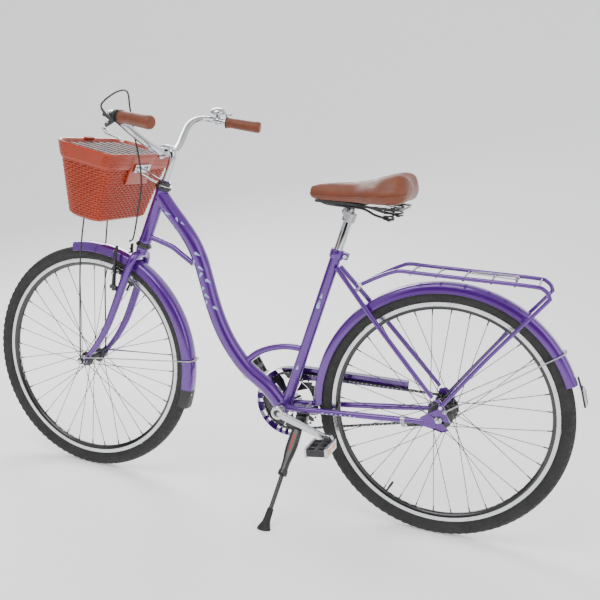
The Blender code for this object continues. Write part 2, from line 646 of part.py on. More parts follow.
thumb = unite(rod(BELL_LEVER + Vector((0, 0, -0.0045)), BELL_LEVER + Vector((0, 0, 0.0040)),
                  0.0042, sides=8),
              rod(BELL_LEVER, BELL_LEVER + Vector((-0.004, -0.020, 0.001)), 0.0022, sides=6),
              rod(BELL_LEVER + Vector((-0.004, -0.0195, -0.003)),
                  BELL_LEVER + Vector((-0.004, -0.0195, 0.007)), 0.0055, sides=10))
place("bell_lever", thumb, "chrome", empty("bell_pivot", STEERING, BELL_LEVER), BELL_LEVER)

# ---- basket ----
BASKET_TILT = math.radians(-10)
BASKET_BACK = Vector((0.9450, 0, 0.650))
to_basket = Matrix.Translation(BASKET_BACK) @ Matrix.Rotation(BASKET_TILT, 4, "Y")
BASKET_DEPTH = 0.205
BASKET_HEIGHT = 0.210


def basket_ring(height, grow=0.0):
    """A rounded rectangle at a height below the rim, narrower towards the bottom."""
    t = -height / BASKET_HEIGHT
    half = (BASKET_HALF_WIDTH * (1 - t) + 0.130 * t) + grow
    back = 0.036 * t - grow
    front = BASKET_DEPTH * (1 - t) + 0.165 * t + grow
    bend_back, bend_front = 0.028, 0.060
    spots = []
    for cx, cy, bend, first in ((front - bend_front, half - bend_front, bend_front, 0),
                                (back + bend_back, half - bend_back, bend_back, 90),
                                (back + bend_back, -half + bend_back, bend_back, 180),
                                (front - bend_front, -half + bend_front, bend_front, 270)):
        for k in range(4):
            a = math.radians(first + 30 * k)
            spots.append((cx + bend * math.cos(a), cy + bend * math.sin(a), height))
    return spots


def loft(rings, cap=True):
    """A closed skin over rings of equal count, its first and last ring capped."""
    body = bmesh.new()
    made = [[body.verts.new(p) for p in ring] for ring in rings]
    count = len(rings[0])
    for a, b in zip(made[:-1], made[1:]):
        for i in range(count):
            j = (i + 1) % count
            body.faces.new((a[i], a[j], b[j], b[i]))
    if cap:
        body.faces.new(list(reversed(made[0])))
        body.faces.new(made[-1])
    bmesh.ops.recalc_face_normals(body, faces=body.faces)
    mesh = bpy.data.meshes.new("loft")
    body.to_mesh(mesh)
    body.free()
    return new_object(mesh)


outer = [basket_ring(0, 0.003), basket_ring(-0.048, 0.003), basket_ring(-0.050, 0),
         basket_ring(-0.130, 0), basket_ring(-BASKET_HEIGHT, 0)]
inner = [basket_ring(-BASKET_HEIGHT + BASKET_WALL, -BASKET_WALL), basket_ring(-0.130, -BASKET_WALL),
         basket_ring(0, -BASKET_WALL)]
shell = moved(loft(outer + inner, cap=False), Matrix.Identity(4))
rim_and_floor = bmesh.new()
rim_and_floor.from_mesh(shell.data)
count = len(outer[0])
rim_and_floor.verts.ensure_lookup_table()
rows = [[rim_and_floor.verts[r * count + i] for i in range(count)] for r in range(len(outer + inner))]
low, top_in, top_out = len(outer) - 1, len(outer) + len(inner) - 1, 0
for i in range(count):
    j = (i + 1) % count
    rim_and_floor.faces.new((rows[top_in][i], rows[top_in][j], rows[top_out][j], rows[top_out][i]))
for i in range(count):
    j = (i + 1) % count
    for face in [f for f in rim_and_floor.faces
                 if {rows[low][i], rows[low][j], rows[low + 1][i]} <= set(f.verts)]:
        rim_and_floor.faces.remove(face)
rim_and_floor.faces.new(rows[low])
rim_and_floor.faces.new(rows[low + 1])
bmesh.ops.recalc_face_normals(rim_and_floor, faces=rim_and_floor.faces)
rim_and_floor.to_mesh(shell.data)
rim_and_floor.free()
shell.data.transform(to_basket)
place("basket_body", shell, "woven_plastic", STEERING, BASKET_BACK)

# the slatted lid lies inside the rim and turns up about its front edge
LID_HINGE = to_basket @ Vector((BASKET_DEPTH - 0.014, 0, -0.010))
slats = []
lid_x0, lid_x1 = 0.010, BASKET_DEPTH - 0.018
for i in range(9):
    across = -0.136 + 0.034 * i
    end = lid_x1 - (0.016 if abs(across) > 0.12 else 0.0)
    slats.append(block((end - lid_x0, 0.022, 0.006),
                       ((end + lid_x0) / 2, across, -0.011)))
for x in (0.030, 0.150):
    slats.append(block((0.014, 0.290, 0.005), (x, 0, -0.0160)))
lid = unite(slats[0], joined(slats[1:]), self_cross=True)
lid.data.transform(to_basket)
hinge = empty("lid_pivot", STEERING, LID_HINGE)
place("basket_lid", lid, "dark_slats", hinge, LID_HINGE)

# bracket: a plate on the basket's back and two arms to a collar under the headset nut
COLLAR = HEAD_TOP + S_AXIS * 0.0150
collar = lathe([(0.0215, 0.0012), (0.0215, -0.0012), (STEERER_RADIUS + 2 * SLIP, -0.0012),
                (STEERER_RADIUS + 2 * SLIP, 0.0012)], COLLAR, S_AXIS, 18, closed=True)
face = to_basket @ Vector((0.0080, 0, -0.0450))
plate_turn = Matrix.Rotation(BASKET_TILT - math.radians(9.7), 4, "Y")
PLATE_MID = face - Vector((0.0100, 0, 0.0))
back_plate = block((0.0024, 0.078, 0.024), PLATE_MID, plate_turn)
arms = []
for side in (1, -1):
    a = COLLAR + Vector((0.014, 0.0165 * side, 0.0062))
    b = PLATE_MID + plate_turn.to_3x3() @ Vector((0.0, 0.026 * side, -0.007))
    arms.append(rod(a, b, 0.0030, sides=8))
place("basket_bracket", unite(collar, back_plate, *arms), "chrome", STEERING, COLLAR)

# stays from under the basket to the front axle
stay = []
under = to_basket @ Vector((0.1350, 0, -BASKET_HEIGHT - 0.0065))
legs = [(FRONT_AXLE.x - 0.0005, 0.0665, 0.0215), (under.x + 0.010, 0.0640, 0.300),
        (under.x, 0.0600, under.z - 0.014), (under.x, 0.0520, under.z - 0.0006),
        (under.x, 0.0200, under.z), (under.x, 0.0, under.z)]
half_stay = smooth(legs, 2)
stay = tube(half_stay + list(reversed(both_sides(half_stay[:-1], -1))), 0.0024, 4)
eyes = []
for side in (1, -1):
    eyes.append(lathe([(0.0105, 0.0012), (0.0105, -0.0012), (0.0052, -0.0012), (0.0052, 0.0012)],
                      (FRONT_AXLE.x, 0.0643 * side, 0), (0, 1, 0), 12, closed=True))
    eyes.append(rod((FRONT_AXLE.x, 0.0643 * side, 0.0090), (FRONT_AXLE.x - 0.0005, 0.0655 * side, 0.023),
                    0.0022, sides=6))
place("basket_stays", unite(stay, *eyes), "black_paint", STEERING, FRONT_AXLE)

# ---- fenders ----
FENDER_SECTION = [(FENDER_RADIUS - 0.027, FENDER_HALF_WIDTH), (FENDER_RADIUS - 0.006, 0.0215),
                  (FENDER_RADIUS, 0.0)]


def fender(hub, first, last, steps):
    """A curved mudguard from one angle above the forward direction to another."""
    section = FENDER_SECTION + [(r, -h) for r, h in reversed(FENDER_SECTION[:-1])]
    sweep = math.radians(last - first)
    shape = lathe(section, (0, 0, 0), (0, 0, 1), steps, angle=sweep, wall=SHEET)
    shape.data.transform(Matrix.Rotation(math.radians(first + 180), 4, "Z"))
    shape.data.transform(Matrix.Translation(hub) @ Matrix.Rotation(math.pi / 2, 4, "X"))
    return shape


def on_wheel(hub, angle, radius, y=0.0):
    a = math.radians(angle)
    return Vector((hub.x + radius * math.cos(a), y, hub.z + radius * math.sin(a)))


place("rear_fender", fender(REAR, -4.0, 158.0, 22), "purple_paint")
place("front_fender", fender(FRONT_AXLE, 80.0, 187.5, 15), "purple_paint", STEERING, FRONT_AXLE)
flap = fender(FRONT_AXLE, 188.2, 193.6, 3)
place("mud_flap", flap, "black_plastic", STEERING, FRONT_AXLE)


def fender_stay(name, hub, angle, foot, parent, paint="steel"):
    """A wire from both dropouts that passes over the fender, with a foot at each end."""
    ride = FENDER_RADIUS + SHEET + 0.0022
    top = on_wheel(hub, angle, ride)
    down = (Vector(foot) - Vector((0, foot[1], 0)) - Vector((top.x, 0, top.z))).normalized()
    edge = top + down * 0.014 + Vector((0, 0.0305, 0))
    low = top + down * 0.060 + Vector((0, 0.0330, 0))
    half = smooth([tuple(foot), tuple(low), tuple(edge), (top.x, 0.0200, top.z),
                   (top.x, 0.0, top.z)], 2)
    wire = tube(half + list(reversed(both_sides(half[:-1], -1))), 0.0018, 4)
    place(name, wire, paint, parent, hub)


fender_stay("rear_fender_stay", REAR, 144.0, (-0.016, 0.0640, 0.026), ROOT)
fender_stay("front_fender_stay", FRONT_AXLE, 172.5, (FRONT_AXLE.x - 0.012, 0.0620, 0.0125), STEERING)

lens_at = on_wheel(REAR, 163.5, 0.3800)
lens = block((0.011, 0.046, 0.052), lens_at, Matrix.Rotation(math.radians(-163.5), 4, "Y"), 0.003)
strap = block((0.0045, 0.016, 0.030), on_wheel(REAR, 157.4, 0.3765),
              Matrix.Rotation(math.radians(-157.4), 4, "Y"))
place("rear_reflector", unite(lens, strap), "clear_plastic")

# ---- rack ----
rack = []
for side in (1, -1):
    w = RACK_HALF_WIDTH
    path = [(0.2640, 0.0120, 0.3330), (0.2440, 0.0160, 0.3440), (0.200, 0.0390, 0.3700),
            (0.160, 0.0560, 0.3900), (0.136, w, RACK_HEIGHT), (0.090, w, RACK_HEIGHT),
            (-0.060, w, RACK_HEIGHT - 0.001), (-0.205, w, RACK_HEIGHT - 0.002),
            (-0.236, w, RACK_HEIGHT - 0.008), (-0.250, w + 0.0005, RACK_HEIGHT - 0.026),
            (-0.240, w + 0.001, RACK_HEIGHT - 0.046), (-0.120, w + 0.003, 0.200),
            (-0.004, w + 0.0065, 0.0400)]
    rack.append(tube(both_sides(path, side), RACK_TUBE_RADIUS, 8))
RODS = (0.108, 0.040, -0.031, -0.103, -0.163, -0.222)
for x in RODS:
    rack.append(rod((x, -RACK_HALF_WIDTH, RACK_HEIGHT - 0.002), (x, RACK_HALF_WIDTH, RACK_HEIGHT - 0.002),
                    0.003, sides=6))
rack.append(rod((0.2540, -0.0160, 0.3385), (0.2540, 0.0160, 0.3385), 0.0050, sides=8))
place("rear_rack", unite(rack[0], *rack[1:]), "purple_paint")

CLIP_PIVOT = Vector((RODS[4], 0, RACK_HEIGHT + 0.0040))
clip_half = smooth([(CLIP_PIVOT.x, 0.0, CLIP_PIVOT.z), (CLIP_PIVOT.x, 0.018, CLIP_PIVOT.z),
                    (CLIP_PIVOT.x + 0.004, 0.024, CLIP_PIVOT.z),
                    (CLIP_PIVOT.x + 0.060, 0.019, CLIP_PIVOT.z + 0.002),
                    (CLIP_PIVOT.x + 0.112, 0.012, CLIP_PIVOT.z + 0.002),
                    (CLIP_PIVOT.x + 0.118, 0.0, CLIP_PIVOT.z + 0.002)], 2)
clip = tube(clip_half + list(reversed(both_sides(clip_half[1:-1], -1))), 0.002, 4, closed=True)
place("rack_clip", clip, "steel", empty("clip_pivot", ROOT, CLIP_PIVOT), CLIP_PIVOT)

# ---- drive ----
CRANKS = empty("cranks", ROOT, BB)
SPROCKET = empty("sprocket", ROOT, REAR)


def gear_outline(teeth, x, z, turn=0.0):
    """Tooth tips and roots round the pitch circle of a roller chain."""
    pitch_radius = CHAIN_PITCH / (2 * math.sin(math.pi / teeth))
    spots = []
    for i in range(teeth):
        for k, r in ((0.0, -0.0038), (0.5, 0.0028)):
            a = turn + math.tau * (i + k) / teeth
            spots.append((x + (pitch_radius + r) * math.cos(a), z + (pitch_radius + r) * math.sin(a)))
    return spots, pitch_radius


def crank_spot(distance, turn=0.0):
    return Vector((BB_X + distance * math.cos(CRANK_AT_REST + turn), 0,
                   BB_Z + distance * math.sin(CRANK_AT_REST + turn)))


ring_outline, ring_radius = gear_outline(CHAINRING_TEETH, BB_X, BB_Z, CRANK_AT_REST)
windows = []
for i in range(5):
    first = CRANK_AT_REST + math.tau * (i + 0.5) / 5 - 0.42
    arc = [first + 0.84 * k / 5 for k in range(6)]
    windows.append([(BB_X + 0.070 * math.cos(a), BB_Z + 0.070 * math.sin(a)) for a in arc]
                   + [(BB_X + 0.036 * math.cos(a), BB_Z + 0.036 * math.sin(a)) for a in reversed(arc)])
ring = plate([ring_outline, circle(BB_X, BB_Z, 0.0125, 16), *windows], 0.0022, -CHAIN_LINE)
SPINDLE_HALF = 0.0596
right_end = crank_spot(CRANK_LENGTH, math.pi)
left_end = crank_spot(CRANK_LENGTH)


def crank_arm(end, side):
    hub_in, hub_out = 0.0600, 0.0770
    boss = rod((BB_X, hub_in * side, BB_Z), (BB_X, hub_out * side, BB_Z), 0.0185, sides=18)
    tip = rod((end.x, (hub_in + 0.004) * side, end.z), (end.x, (hub_out + 0.002) * side, end.z),
              0.0145, sides=14)
    along = end - BB
    web = block((along.length, 0.0120, 0.0215), ((end.x + BB_X) / 2, 0.0700 * side, (end.z + BB_Z) / 2),
                Matrix.Rotation(-math.atan2(along.z, along.x), 4, "Y"))
    return unite(boss, tip, web)


spindle = [(0.0, SPINDLE_HALF), (0.0085, SPINDLE_HALF), (0.0085, 0.0385), (0.0118, 0.0370),
           (0.0118, -0.0370), (0.0085, -0.0385), (0.0085, -SPINDLE_HALF), (0.0, -SPINDLE_HALF)]
place("crank_spindle", lathe(spindle, BB, (0, 1, 0), 14), "steel", CRANKS, BB)
place("crank_left", crank_arm(left_end, 1), "rim_alloy", CRANKS, BB)
spider = lathe([(0.0175, 0.0612), (0.0175, CHAIN_LINE + 0.0005), (0.0090, CHAIN_LINE + 0.0005),
                (0.0090, 0.0612)], BB, (0, -1, 0), 18, closed=True)
place("crank_right_ring", unite(crank_arm(right_end, -1), spider, ring), "rim_alloy", CRANKS, BB)

cog_outline, cog_radius = gear_outline(SPROCKET_TEETH, 0, 0)
cog = plate([cog_outline, circle(0, 0, 0.0150, 16)], 0.0022, -CHAIN_LINE)
boss = lathe([(0.0200, 0.0515), (0.0200, 0.0395), (0.0100, 0.0395), (0.0100, 0.0515)],
             REAR, (0, -1, 0), 18, closed=True)
place("rear_sprocket", unite(cog, boss), "black_paint", SPROCKET, REAR)

# the chain is one closed channel, open towards the teeth
drop = BB - REAR
span = math.hypot(drop.x, drop.z)
heading = math.atan2(drop.z, drop.x)
open_angle = math.acos((cog_radius - ring_radius) / span)
route = []
for k in range(22):
    a = heading + open_angle - 2 * open_angle * k / 21
    route.append((BB_X + ring_radius * math.cos(a), BB_Z + ring_radius * math.sin(a)))
for k in range(9):
    a = heading - open_angle - (math.tau - 2 * open_angle) * k / 8
    route.append((cog_radius * math.cos(a), cog_radius * math.sin(a)))
chain_section = bpy.data.curves.new("chain_section", "CURVE")
chain_section.dimensions = "2D"
line = chain_section.splines.new("POLY")
section = [(0.0042, -0.0046), (-0.0052, -0.0046), (-0.0052, 0.0046), (0.0042, 0.0046),
           (0.0042, 0.0022), (-0.0038, 0.0022), (-0.0038, -0.0022), (0.0042, -0.0022)]
line.points.add(len(section) - 1)
for spot, (a, b) in zip(line.points, section):
    spot.co = (a, b, 0, 1)
line.use_cyclic_u = True
section_obj = new_object(chain_section)
curve = bpy.data.curves.new("chain", "CURVE")
curve.dimensions = "2D"
curve.fill_mode = "NONE"
curve.bevel_mode = "OBJECT"
curve.bevel_object = section_obj
line = curve.splines.new("POLY")
line.points.add(len(route) - 1)
for spot, (x, z) in zip(line.points, route):
    spot.co = (x, z, 0, 1)
line.use_cyclic_u = True
chain = baked(new_object(curve))
bpy.data.objects.remove(section_obj, do_unlink=True)
chain.data.transform(Matrix.Translation((0, -CHAIN_LINE, 0)) @ Matrix.Rotation(math.pi / 2, 4, "X"))
place("chain", chain, "black_paint", ROOT, BB)

# chain case: a curved band over the upper run and round the front, with a thin outer face
case_out = ring_radius + 0.0165
outline = [(0.110, 0.062), (0.110, 0.028), (0.300, 0.024)]
inner_arc = [(BB_X + (case_out - 0.030) * math.cos(a), BB_Z + (case_out - 0.030) * math.sin(a))
             for a in [math.radians(d) for d in range(118, -111, -12)]]
outer_arc = [(BB_X + case_out * math.cos(a), BB_Z + case_out * math.sin(a))
             for a in [math.radians(d) for d in range(-106, 97, 12)]]
case = plate([outline + inner_arc + outer_arc], 0.0012, -0.0560)
band_path = [(x, z) for x, z in outer_arc] + [(0.300, 0.0605), (0.110, 0.0620)]
band = []
for x, z in band_path:
    band.append((x, -0.0560, z))
skin = bpy.data.meshes.new("band")
spots = [(x, -0.0562, z) for x, z in band_path] + [(x, -0.0340, z) for x, z in band_path]
n = len(band_path)
skin.from_pydata(spots, [], [(i, i + 1, n + i + 1, n + i) for i in range(n - 1)])
skin_obj = new_object(skin)
thick = skin_obj.modifiers.new("wall", "SOLIDIFY")
thick.thickness = 0.0012
thick.offset = 0
place("chain_case", unite(case, baked(skin_obj)), "purple_paint", ROOT, BB)


def pedal(tag, end, side, tilt):
    """A caged pedal round its spindle, tilted about it."""
    pivot = Vector((end.x, 0.0815 * side, end.z))
    mid = 0.0960 + PEDAL_LENGTH / 2
    w, h, t = PEDAL_DEPTH / 2, PEDAL_LENGTH / 2, PEDAL_THICKNESS / 2
    core = rod((0, 0.0795, 0), (0, mid + h - 0.004, 0), 0.0100, sides=12)
    parts = [block((0.008, 2 * h, 2 * t), (w - 0.004, mid, 0), None, 0.0015),
             block((0.008, 2 * h, 2 * t), (0.004 - w, mid, 0), None, 0.0015)]
    for y in (mid - h + 0.006, mid, mid + h - 0.006):
        parts.append(block((2 * w - 0.004, 0.008, 2 * t - 0.008), (0, y, 0)))
    body = unite(core, *parts)
    if side < 0:
        mirrored(body)
    body.data.transform(Matrix.Translation((end.x, 0, end.z)) @ Matrix.Rotation(tilt, 4, "Y"))
    hinge = empty("pedal_pivot_" + tag, CRANKS, pivot)
    place("pedal_" + tag, body, "black_plastic", hinge, pivot)


pedal("left", left_end, 1, math.radians(8))
pedal("right", right_end, -1, math.radians(-56))

# coaster brake reaction arm, strapped to the left chainstay
arm_outline = [(-0.014, -0.012), (0.000, -0.018), (0.045, -0.030), (0.098, -0.0405),
               (0.102, -0.0335), (0.060, -0.0235), (0.018, -0.004), (0.012, 0.014), (-0.012, 0.014)]
reaction = plate([arm_outline, circle(0, 0, 0.0053, 12)], 0.0026, 0.0440)
place("coaster_arm", reaction, "black_paint", ROOT, REAR)

# ---- kickstand ----
STAND_PIVOT = Vector((0.4020, 0.0480, -0.0930))
upright = Vector((0, -math.sin(LEAN_ON_STAND), math.cos(LEAN_ON_STAND)))
tyre_core = TYRE_RADIUS - TYRE_WIDTH / 2
ground = -(tyre_core * math.cos(LEAN_ON_STAND) + TYRE_WIDTH / 2)
leg_direction = Vector((0.100, 0.765, -1.0)).normalized()
reach = (ground + 0.0 - STAND_PIVOT.dot(upright)) / leg_direction.dot(upright)
STAND_FOOT = STAND_PIVOT + leg_direction * reach
plate_top = block((0.040, 0.052, 0.008), (0.400, 0, -0.0640), None, 0.001)
lug = unite(block((0.034, 0.030, 0.022), (0.402, 0.018, -0.0780), None, 0.002),
            rod((0.402, 0.012, -0.086), (0.402, 0.034, -0.0905), 0.012, sides=12))
place("kickstand_bracket", unite(plate_top, lug), "black_paint", ROOT, STAND_PIVOT)
side_on = leg_direction.cross(upright).normalized()
leg_turn = Matrix.Identity(4)
leg_x = Vector((1, 0, 0)) - leg_direction * leg_direction.x
leg_x.normalize()
leg_y = leg_direction.cross(leg_x)
for row in range(3):
    leg_turn[row][0], leg_turn[row][1], leg_turn[row][2] = leg_x[row], leg_y[row], leg_direction[row]


def leg_ring(along, wide, deep, shift=0.0, count=8):
    """One cross-section of the stand's leg, square to it."""
    spots = []
    for k in range(count):
        a = math.tau * (k + 0.5) / count
        spots.append(tuple(STAND_PIVOT + leg_direction * along
                           + leg_x * (wide * math.cos(a) + shift) + leg_y * deep * math.sin(a)))
    return spots


LEG_SPLIT = 0.150
leg = loft([leg_ring(-0.010, 0.0110, 0.0080), leg_ring(0.012, 0.0150, 0.0095),
            leg_ring(0.055, 0.0170, 0.0100), leg_ring(0.085, 0.0150, 0.0100),
            leg_ring(0.110, 0.0115, 0.0100), leg_ring(LEG_SPLIT, 0.0105, 0.0100)])
LEG_BORE = 0.0068
leg = cut(leg, rod(STAND_PIVOT + leg_direction * 0.060, STAND_PIVOT + leg_direction * (LEG_SPLIT + 0.02),
                   LEG_BORE, sides=12))
STAND = empty("stand_pivot", ROOT, STAND_PIVOT)
place("kickstand_leg", leg, "black_paint", STAND, STAND_PIVOT)
slider = rod(STAND_PIVOT + leg_direction * 0.095, STAND_FOOT - leg_direction * 0.018,
             LEG_BORE - SLIP, sides=10)
sole = []
for k in range(10):
    a = math.tau * k / 10
    flat = Vector((1, 0, 0)) * (0.0200 * math.cos(a)) + Vector((0, 1, 0)) * (0.0130 * math.sin(a))
    flat -= upright * flat.dot(upright)
    sole.append(tuple(STAND_FOOT + flat + upright * 0.0))
neck = []
throat = []
for k in range(10):
    a = math.tau * k / 10
    flat = Vector((1, 0, 0)) * math.cos(a) + Vector((0, 1, 0)) * math.sin(a)
    flat -= leg_direction * flat.dot(leg_direction)
    flat.normalize()
    neck.append(tuple(STAND_FOOT - leg_direction * 0.060 + flat * 0.0092))
    throat.append(tuple(STAND_FOOT - leg_direction * 0.022 + flat * 0.0112))
foot = loft([neck, throat, sole])
STAND_SLIDE = empty("stand_slide", STAND, STAND_PIVOT + leg_direction * 0.150)
place("kickstand_foot", unite(slider, foot), "black_plastic", STAND_SLIDE, STAND_SLIDE["at"])

# ---- seat post and saddle ----
SEAT_SLIDE = empty("seat_slide", ROOT, SEAT_TOP)
post_top = SEAT_TOP + SEAT_AXIS * SADDLE_RISE
place("seat_post", rod(SEAT_TOP - SEAT_AXIS * 0.150, post_top, SEAT_POST_RADIUS, sides=18),
      "chrome", SEAT_SLIDE, SEAT_TOP)
collar_profile = [(SEAT_TUBE_RADIUS + 0.0045, -0.002), (SEAT_TUBE_RADIUS + 0.0045, -0.026),
                  (SEAT_TUBE_RADIUS + GAP, -0.026), (SEAT_TUBE_RADIUS + GAP, -0.002)]
collar = lathe(collar_profile, SEAT_TOP, SEAT_AXIS, 20, closed=True)
ear = block((0.016, 0.020, 0.018), SEAT_TOP - SEAT_AXIS * 0.014 + Vector((-0.0265, 0, -0.004)),
            Matrix.Rotation(math.pi / 2 - SEAT_ANGLE, 4, "Y").inverted(), 0.002)
bolt = rod(SEAT_TOP - SEAT_AXIS * 0.014 + Vector((-0.0265, -0.017, -0.004)),
           SEAT_TOP - SEAT_AXIS * 0.014 + Vector((-0.0265, 0.017, -0.004)), 0.0045, sides=8)
place("seat_clamp", unite(collar, ear, bolt), "purple_paint", ROOT, SEAT_TOP)

CLAMP = post_top - SEAT_AXIS * 0.012
sleeve = lathe([(0.0190, 0.013), (0.0190, -0.013), (SEAT_POST_RADIUS + SLIP, -0.013),
                (SEAT_POST_RADIUS + SLIP, 0.013)], CLAMP, SEAT_AXIS, 16, closed=True)
saddle_tilt_at = CLAMP + Vector((0.004, 0, 0.0155))
TILT = empty("saddle_tilt", SEAT_SLIDE, saddle_tilt_at)
cross = rod(saddle_tilt_at - Vector((0, 0.030, 0)), saddle_tilt_at + Vector((0, 0.030, 0)),
            0.0090, sides=10)
cheeks = []
for side in (1, -1):
    cheeks.append(rod(CLAMP + Vector((0.002, 0.0170 * side, -0.004)),
                      saddle_tilt_at + Vector((0, 0.0170 * side, 0)), 0.0075, sides=8))
clamp_body = cut(unite(sleeve, cross, *cheeks),
                 rod(SEAT_TOP - SEAT_AXIS * 0.05, post_top + SEAT_AXIS * 0.0004,
                     SEAT_POST_RADIUS + SLIP, sides=18))
place("saddle_clamp", clamp_body, "steel", SEAT_SLIDE, CLAMP)

rail_z = saddle_tilt_at.z + 0.0150
rails = []
rail_half = smooth([(0.3880, 0.0, rail_z + 0.0070), (0.3840, 0.0100, rail_z + 0.0065),
                    (0.3600, 0.0190, rail_z + 0.0020), (0.3200, 0.0220, rail_z),
                    (0.2600, 0.0240, rail_z - 0.002), (0.2200, 0.0420, rail_z - 0.014),
                    (0.1900, 0.0560, rail_z - 0.018), (0.1780, 0.0560, rail_z - 0.018)], 1)
rails = tube(list(reversed(both_sides(rail_half[1:], -1))) + rail_half, 0.0035, 6)
coils = []
for side in (1, -1):
    coil = []
    for k in range(19):
        t = k / 18
        a = math.tau * 2.5 * t + math.pi / 2 * side
        coil.append((0.1780 + 0.0130 * math.cos(a), side * 0.0560 + 0.0130 * math.sin(a),
                     rail_z - 0.018 + 0.0255 * t))
    coils.append(tube(coil, 0.0020, 4))
    coils.append(rod((0.178, side * 0.056, rail_z - 0.0225), (0.178, side * 0.056, rail_z - 0.0165),
                     0.0160, sides=12))
base = [(0.4000, 0.0120), (0.3750, 0.0195), (0.3300, 0.0270), (0.2850, 0.0390), (0.2400, 0.0620),
        (0.2000, 0.0780), (0.1620, 0.0800), (0.1450, 0.0660)]
base_outline = base + [(x, -y) for x, y in reversed(base)]
tray = plate([base_outline], 0.0070, 0.0)
tray.data.transform(Matrix.Translation((0, 0, 0.5590)) @ Matrix.Rotation(-math.pi / 2, 4, "X"))
place("saddle_frame", unite(rails, tray, *coils), "black_paint", TILT, saddle_tilt_at)


def saddle_section(x, half, low, high, flat=0.55):
    """One cross-section of the saddle, wider at the foot than at the top."""
    mid = (low + high) / 2
    return [(x, half * 0.80, low), (x, half, low + (mid - low) * 0.6), (x, half * 0.94, mid + 0.004),
            (x, half * flat, high), (x, 0.0, high - (0.004 if half > 0.06 else 0.0)),
            (x, -half * flat, high), (x, -half * 0.94, mid + 0.004),
            (x, -half, low + (mid - low) * 0.6), (x, -half * 0.80, low), (x, 0.0, low)]


sections = [saddle_section(0.4160, 0.0120, 0.5740, 0.5860), saddle_section(0.4080, 0.0200, 0.5660, 0.5920),
            saddle_section(0.3750, 0.0270, 0.5640, 0.5990), saddle_section(0.3300, 0.0360, 0.5640, 0.6030),
            saddle_section(0.2850, 0.0520, 0.5655, 0.6080), saddle_section(0.2400, 0.0820, 0.5670, 0.6180, 0.6),
            saddle_section(0.2000, 0.1030, 0.5690, 0.6310, 0.62), saddle_section(0.1620, 0.1060, 0.5720, 0.6400, 0.62),
            saddle_section(0.1380, 0.0920, 0.5790, 0.6370, 0.6), saddle_section(0.1290, 0.0700, 0.5920, 0.6220, 0.6)]
place("saddle_cover", loft(sections), "brown_leather", TILT, saddle_tilt_at, subdivide=1)

# ---- rest pose: steer, lean, and stand on the ground ----
STEERING.rotation_mode = "QUATERNION"
STEERING.rotation_quaternion = Matrix.Rotation(STEER_AT_REST, 4, S_AXIS).to_quaternion()
lean = Matrix.Rotation(-LEAN_ON_STAND, 4, "X")
ROOT.matrix_local = lean
bpy.context.view_layer.update()
bodies = [obj for obj in bpy.data.objects if obj.type == "MESH"]
corners = [obj.matrix_world @ spot.co for obj in bodies for spot in obj.data.vertices]
low, high = ([pick(spot[i] for spot in corners) for i in range(3)] for pick in (min, max))
middle = Vector(((low[0] + high[0]) / 2, (low[1] + high[1]) / 2, low[2]))
ROOT.matrix_local = Matrix.Translation(-middle) @ lean
bpy.context.view_layer.update()
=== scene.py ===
"""Looks of a step-through city bicycle leaning on its kickstand.

Most pieces are worked out in the bicycle's upright coordinates (rear hub at the origin, X forward,
Y to the left, Z up, metres) and then put in place by upright() for the frame and its wheels, or by
turned() for everything that steers.
"""

import json
import math

import bmesh
import bpy
import numpy as np
from mathutils import Matrix, Vector


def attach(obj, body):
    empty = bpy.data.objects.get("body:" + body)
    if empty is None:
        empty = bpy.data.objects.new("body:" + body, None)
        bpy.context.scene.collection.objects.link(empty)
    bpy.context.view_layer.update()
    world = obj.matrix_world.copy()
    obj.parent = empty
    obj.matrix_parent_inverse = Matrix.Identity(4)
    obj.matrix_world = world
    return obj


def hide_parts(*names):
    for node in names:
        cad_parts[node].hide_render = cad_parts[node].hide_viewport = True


bl_info = {
    "name": "City bicycle looks",
    "version": (1, 0, 0),
    "blender": (4, 5, 0),
    "location": "View3D > Sidebar > Bicycle",
    "description": "Builds the finished surfaces of a city bicycle round its packed frame",
    "category": "Object",
}

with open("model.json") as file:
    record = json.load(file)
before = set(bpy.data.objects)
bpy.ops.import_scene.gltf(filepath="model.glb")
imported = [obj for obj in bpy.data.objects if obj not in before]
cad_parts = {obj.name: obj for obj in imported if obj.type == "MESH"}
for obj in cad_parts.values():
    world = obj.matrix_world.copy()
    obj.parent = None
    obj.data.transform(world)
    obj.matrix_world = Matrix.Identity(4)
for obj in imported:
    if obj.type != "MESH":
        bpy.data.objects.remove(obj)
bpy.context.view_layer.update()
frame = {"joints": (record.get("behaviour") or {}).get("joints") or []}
JOINTS = {joint["name"]: joint for joint in frame["joints"]}
TURN = 2 * math.pi

# ---- where the bicycle stands ----
SIDEWAYS = np.array(JOINTS["rear_wheel_spin"]["axis"])
LEAN = np.column_stack([(1, 0, 0), SIDEWAYS, np.cross((1, 0, 0), SIDEWAYS)])
REAR_HUB = np.array(JOINTS["rear_wheel_spin"]["pos_m"])
FRONT_HUB = np.array(JOINTS["front_wheel_spin"]["pos_m"])
STEER_AXIS = np.array(JOINTS["steering_turn"]["axis"])
STEER_POINT = np.array(JOINTS["steering_turn"]["pos_m"])


def about(axis, angle):
    """The 3x3 matrix that turns by the angle round the axis (Rodrigues' formula)."""
    x, y, z = np.asarray(axis, float) / np.linalg.norm(axis)
    cross = np.array([(0, -z, y), (z, 0, -x), (-y, x, 0)])
    return np.eye(3) + math.sin(angle) * cross + (1 - math.cos(angle)) * cross @ cross


def steer_angle():
    """How far the steering is turned at rest: the angle from the rear axle's direction to the front's."""
    flat = [a - STEER_AXIS * (a @ STEER_AXIS) for a in
            (SIDEWAYS, np.array(JOINTS["front_wheel_spin"]["axis"]))]
    return math.atan2(STEER_AXIS @ np.cross(flat[0], flat[1]), flat[0] @ flat[1])


STEER = about(STEER_AXIS, steer_angle())


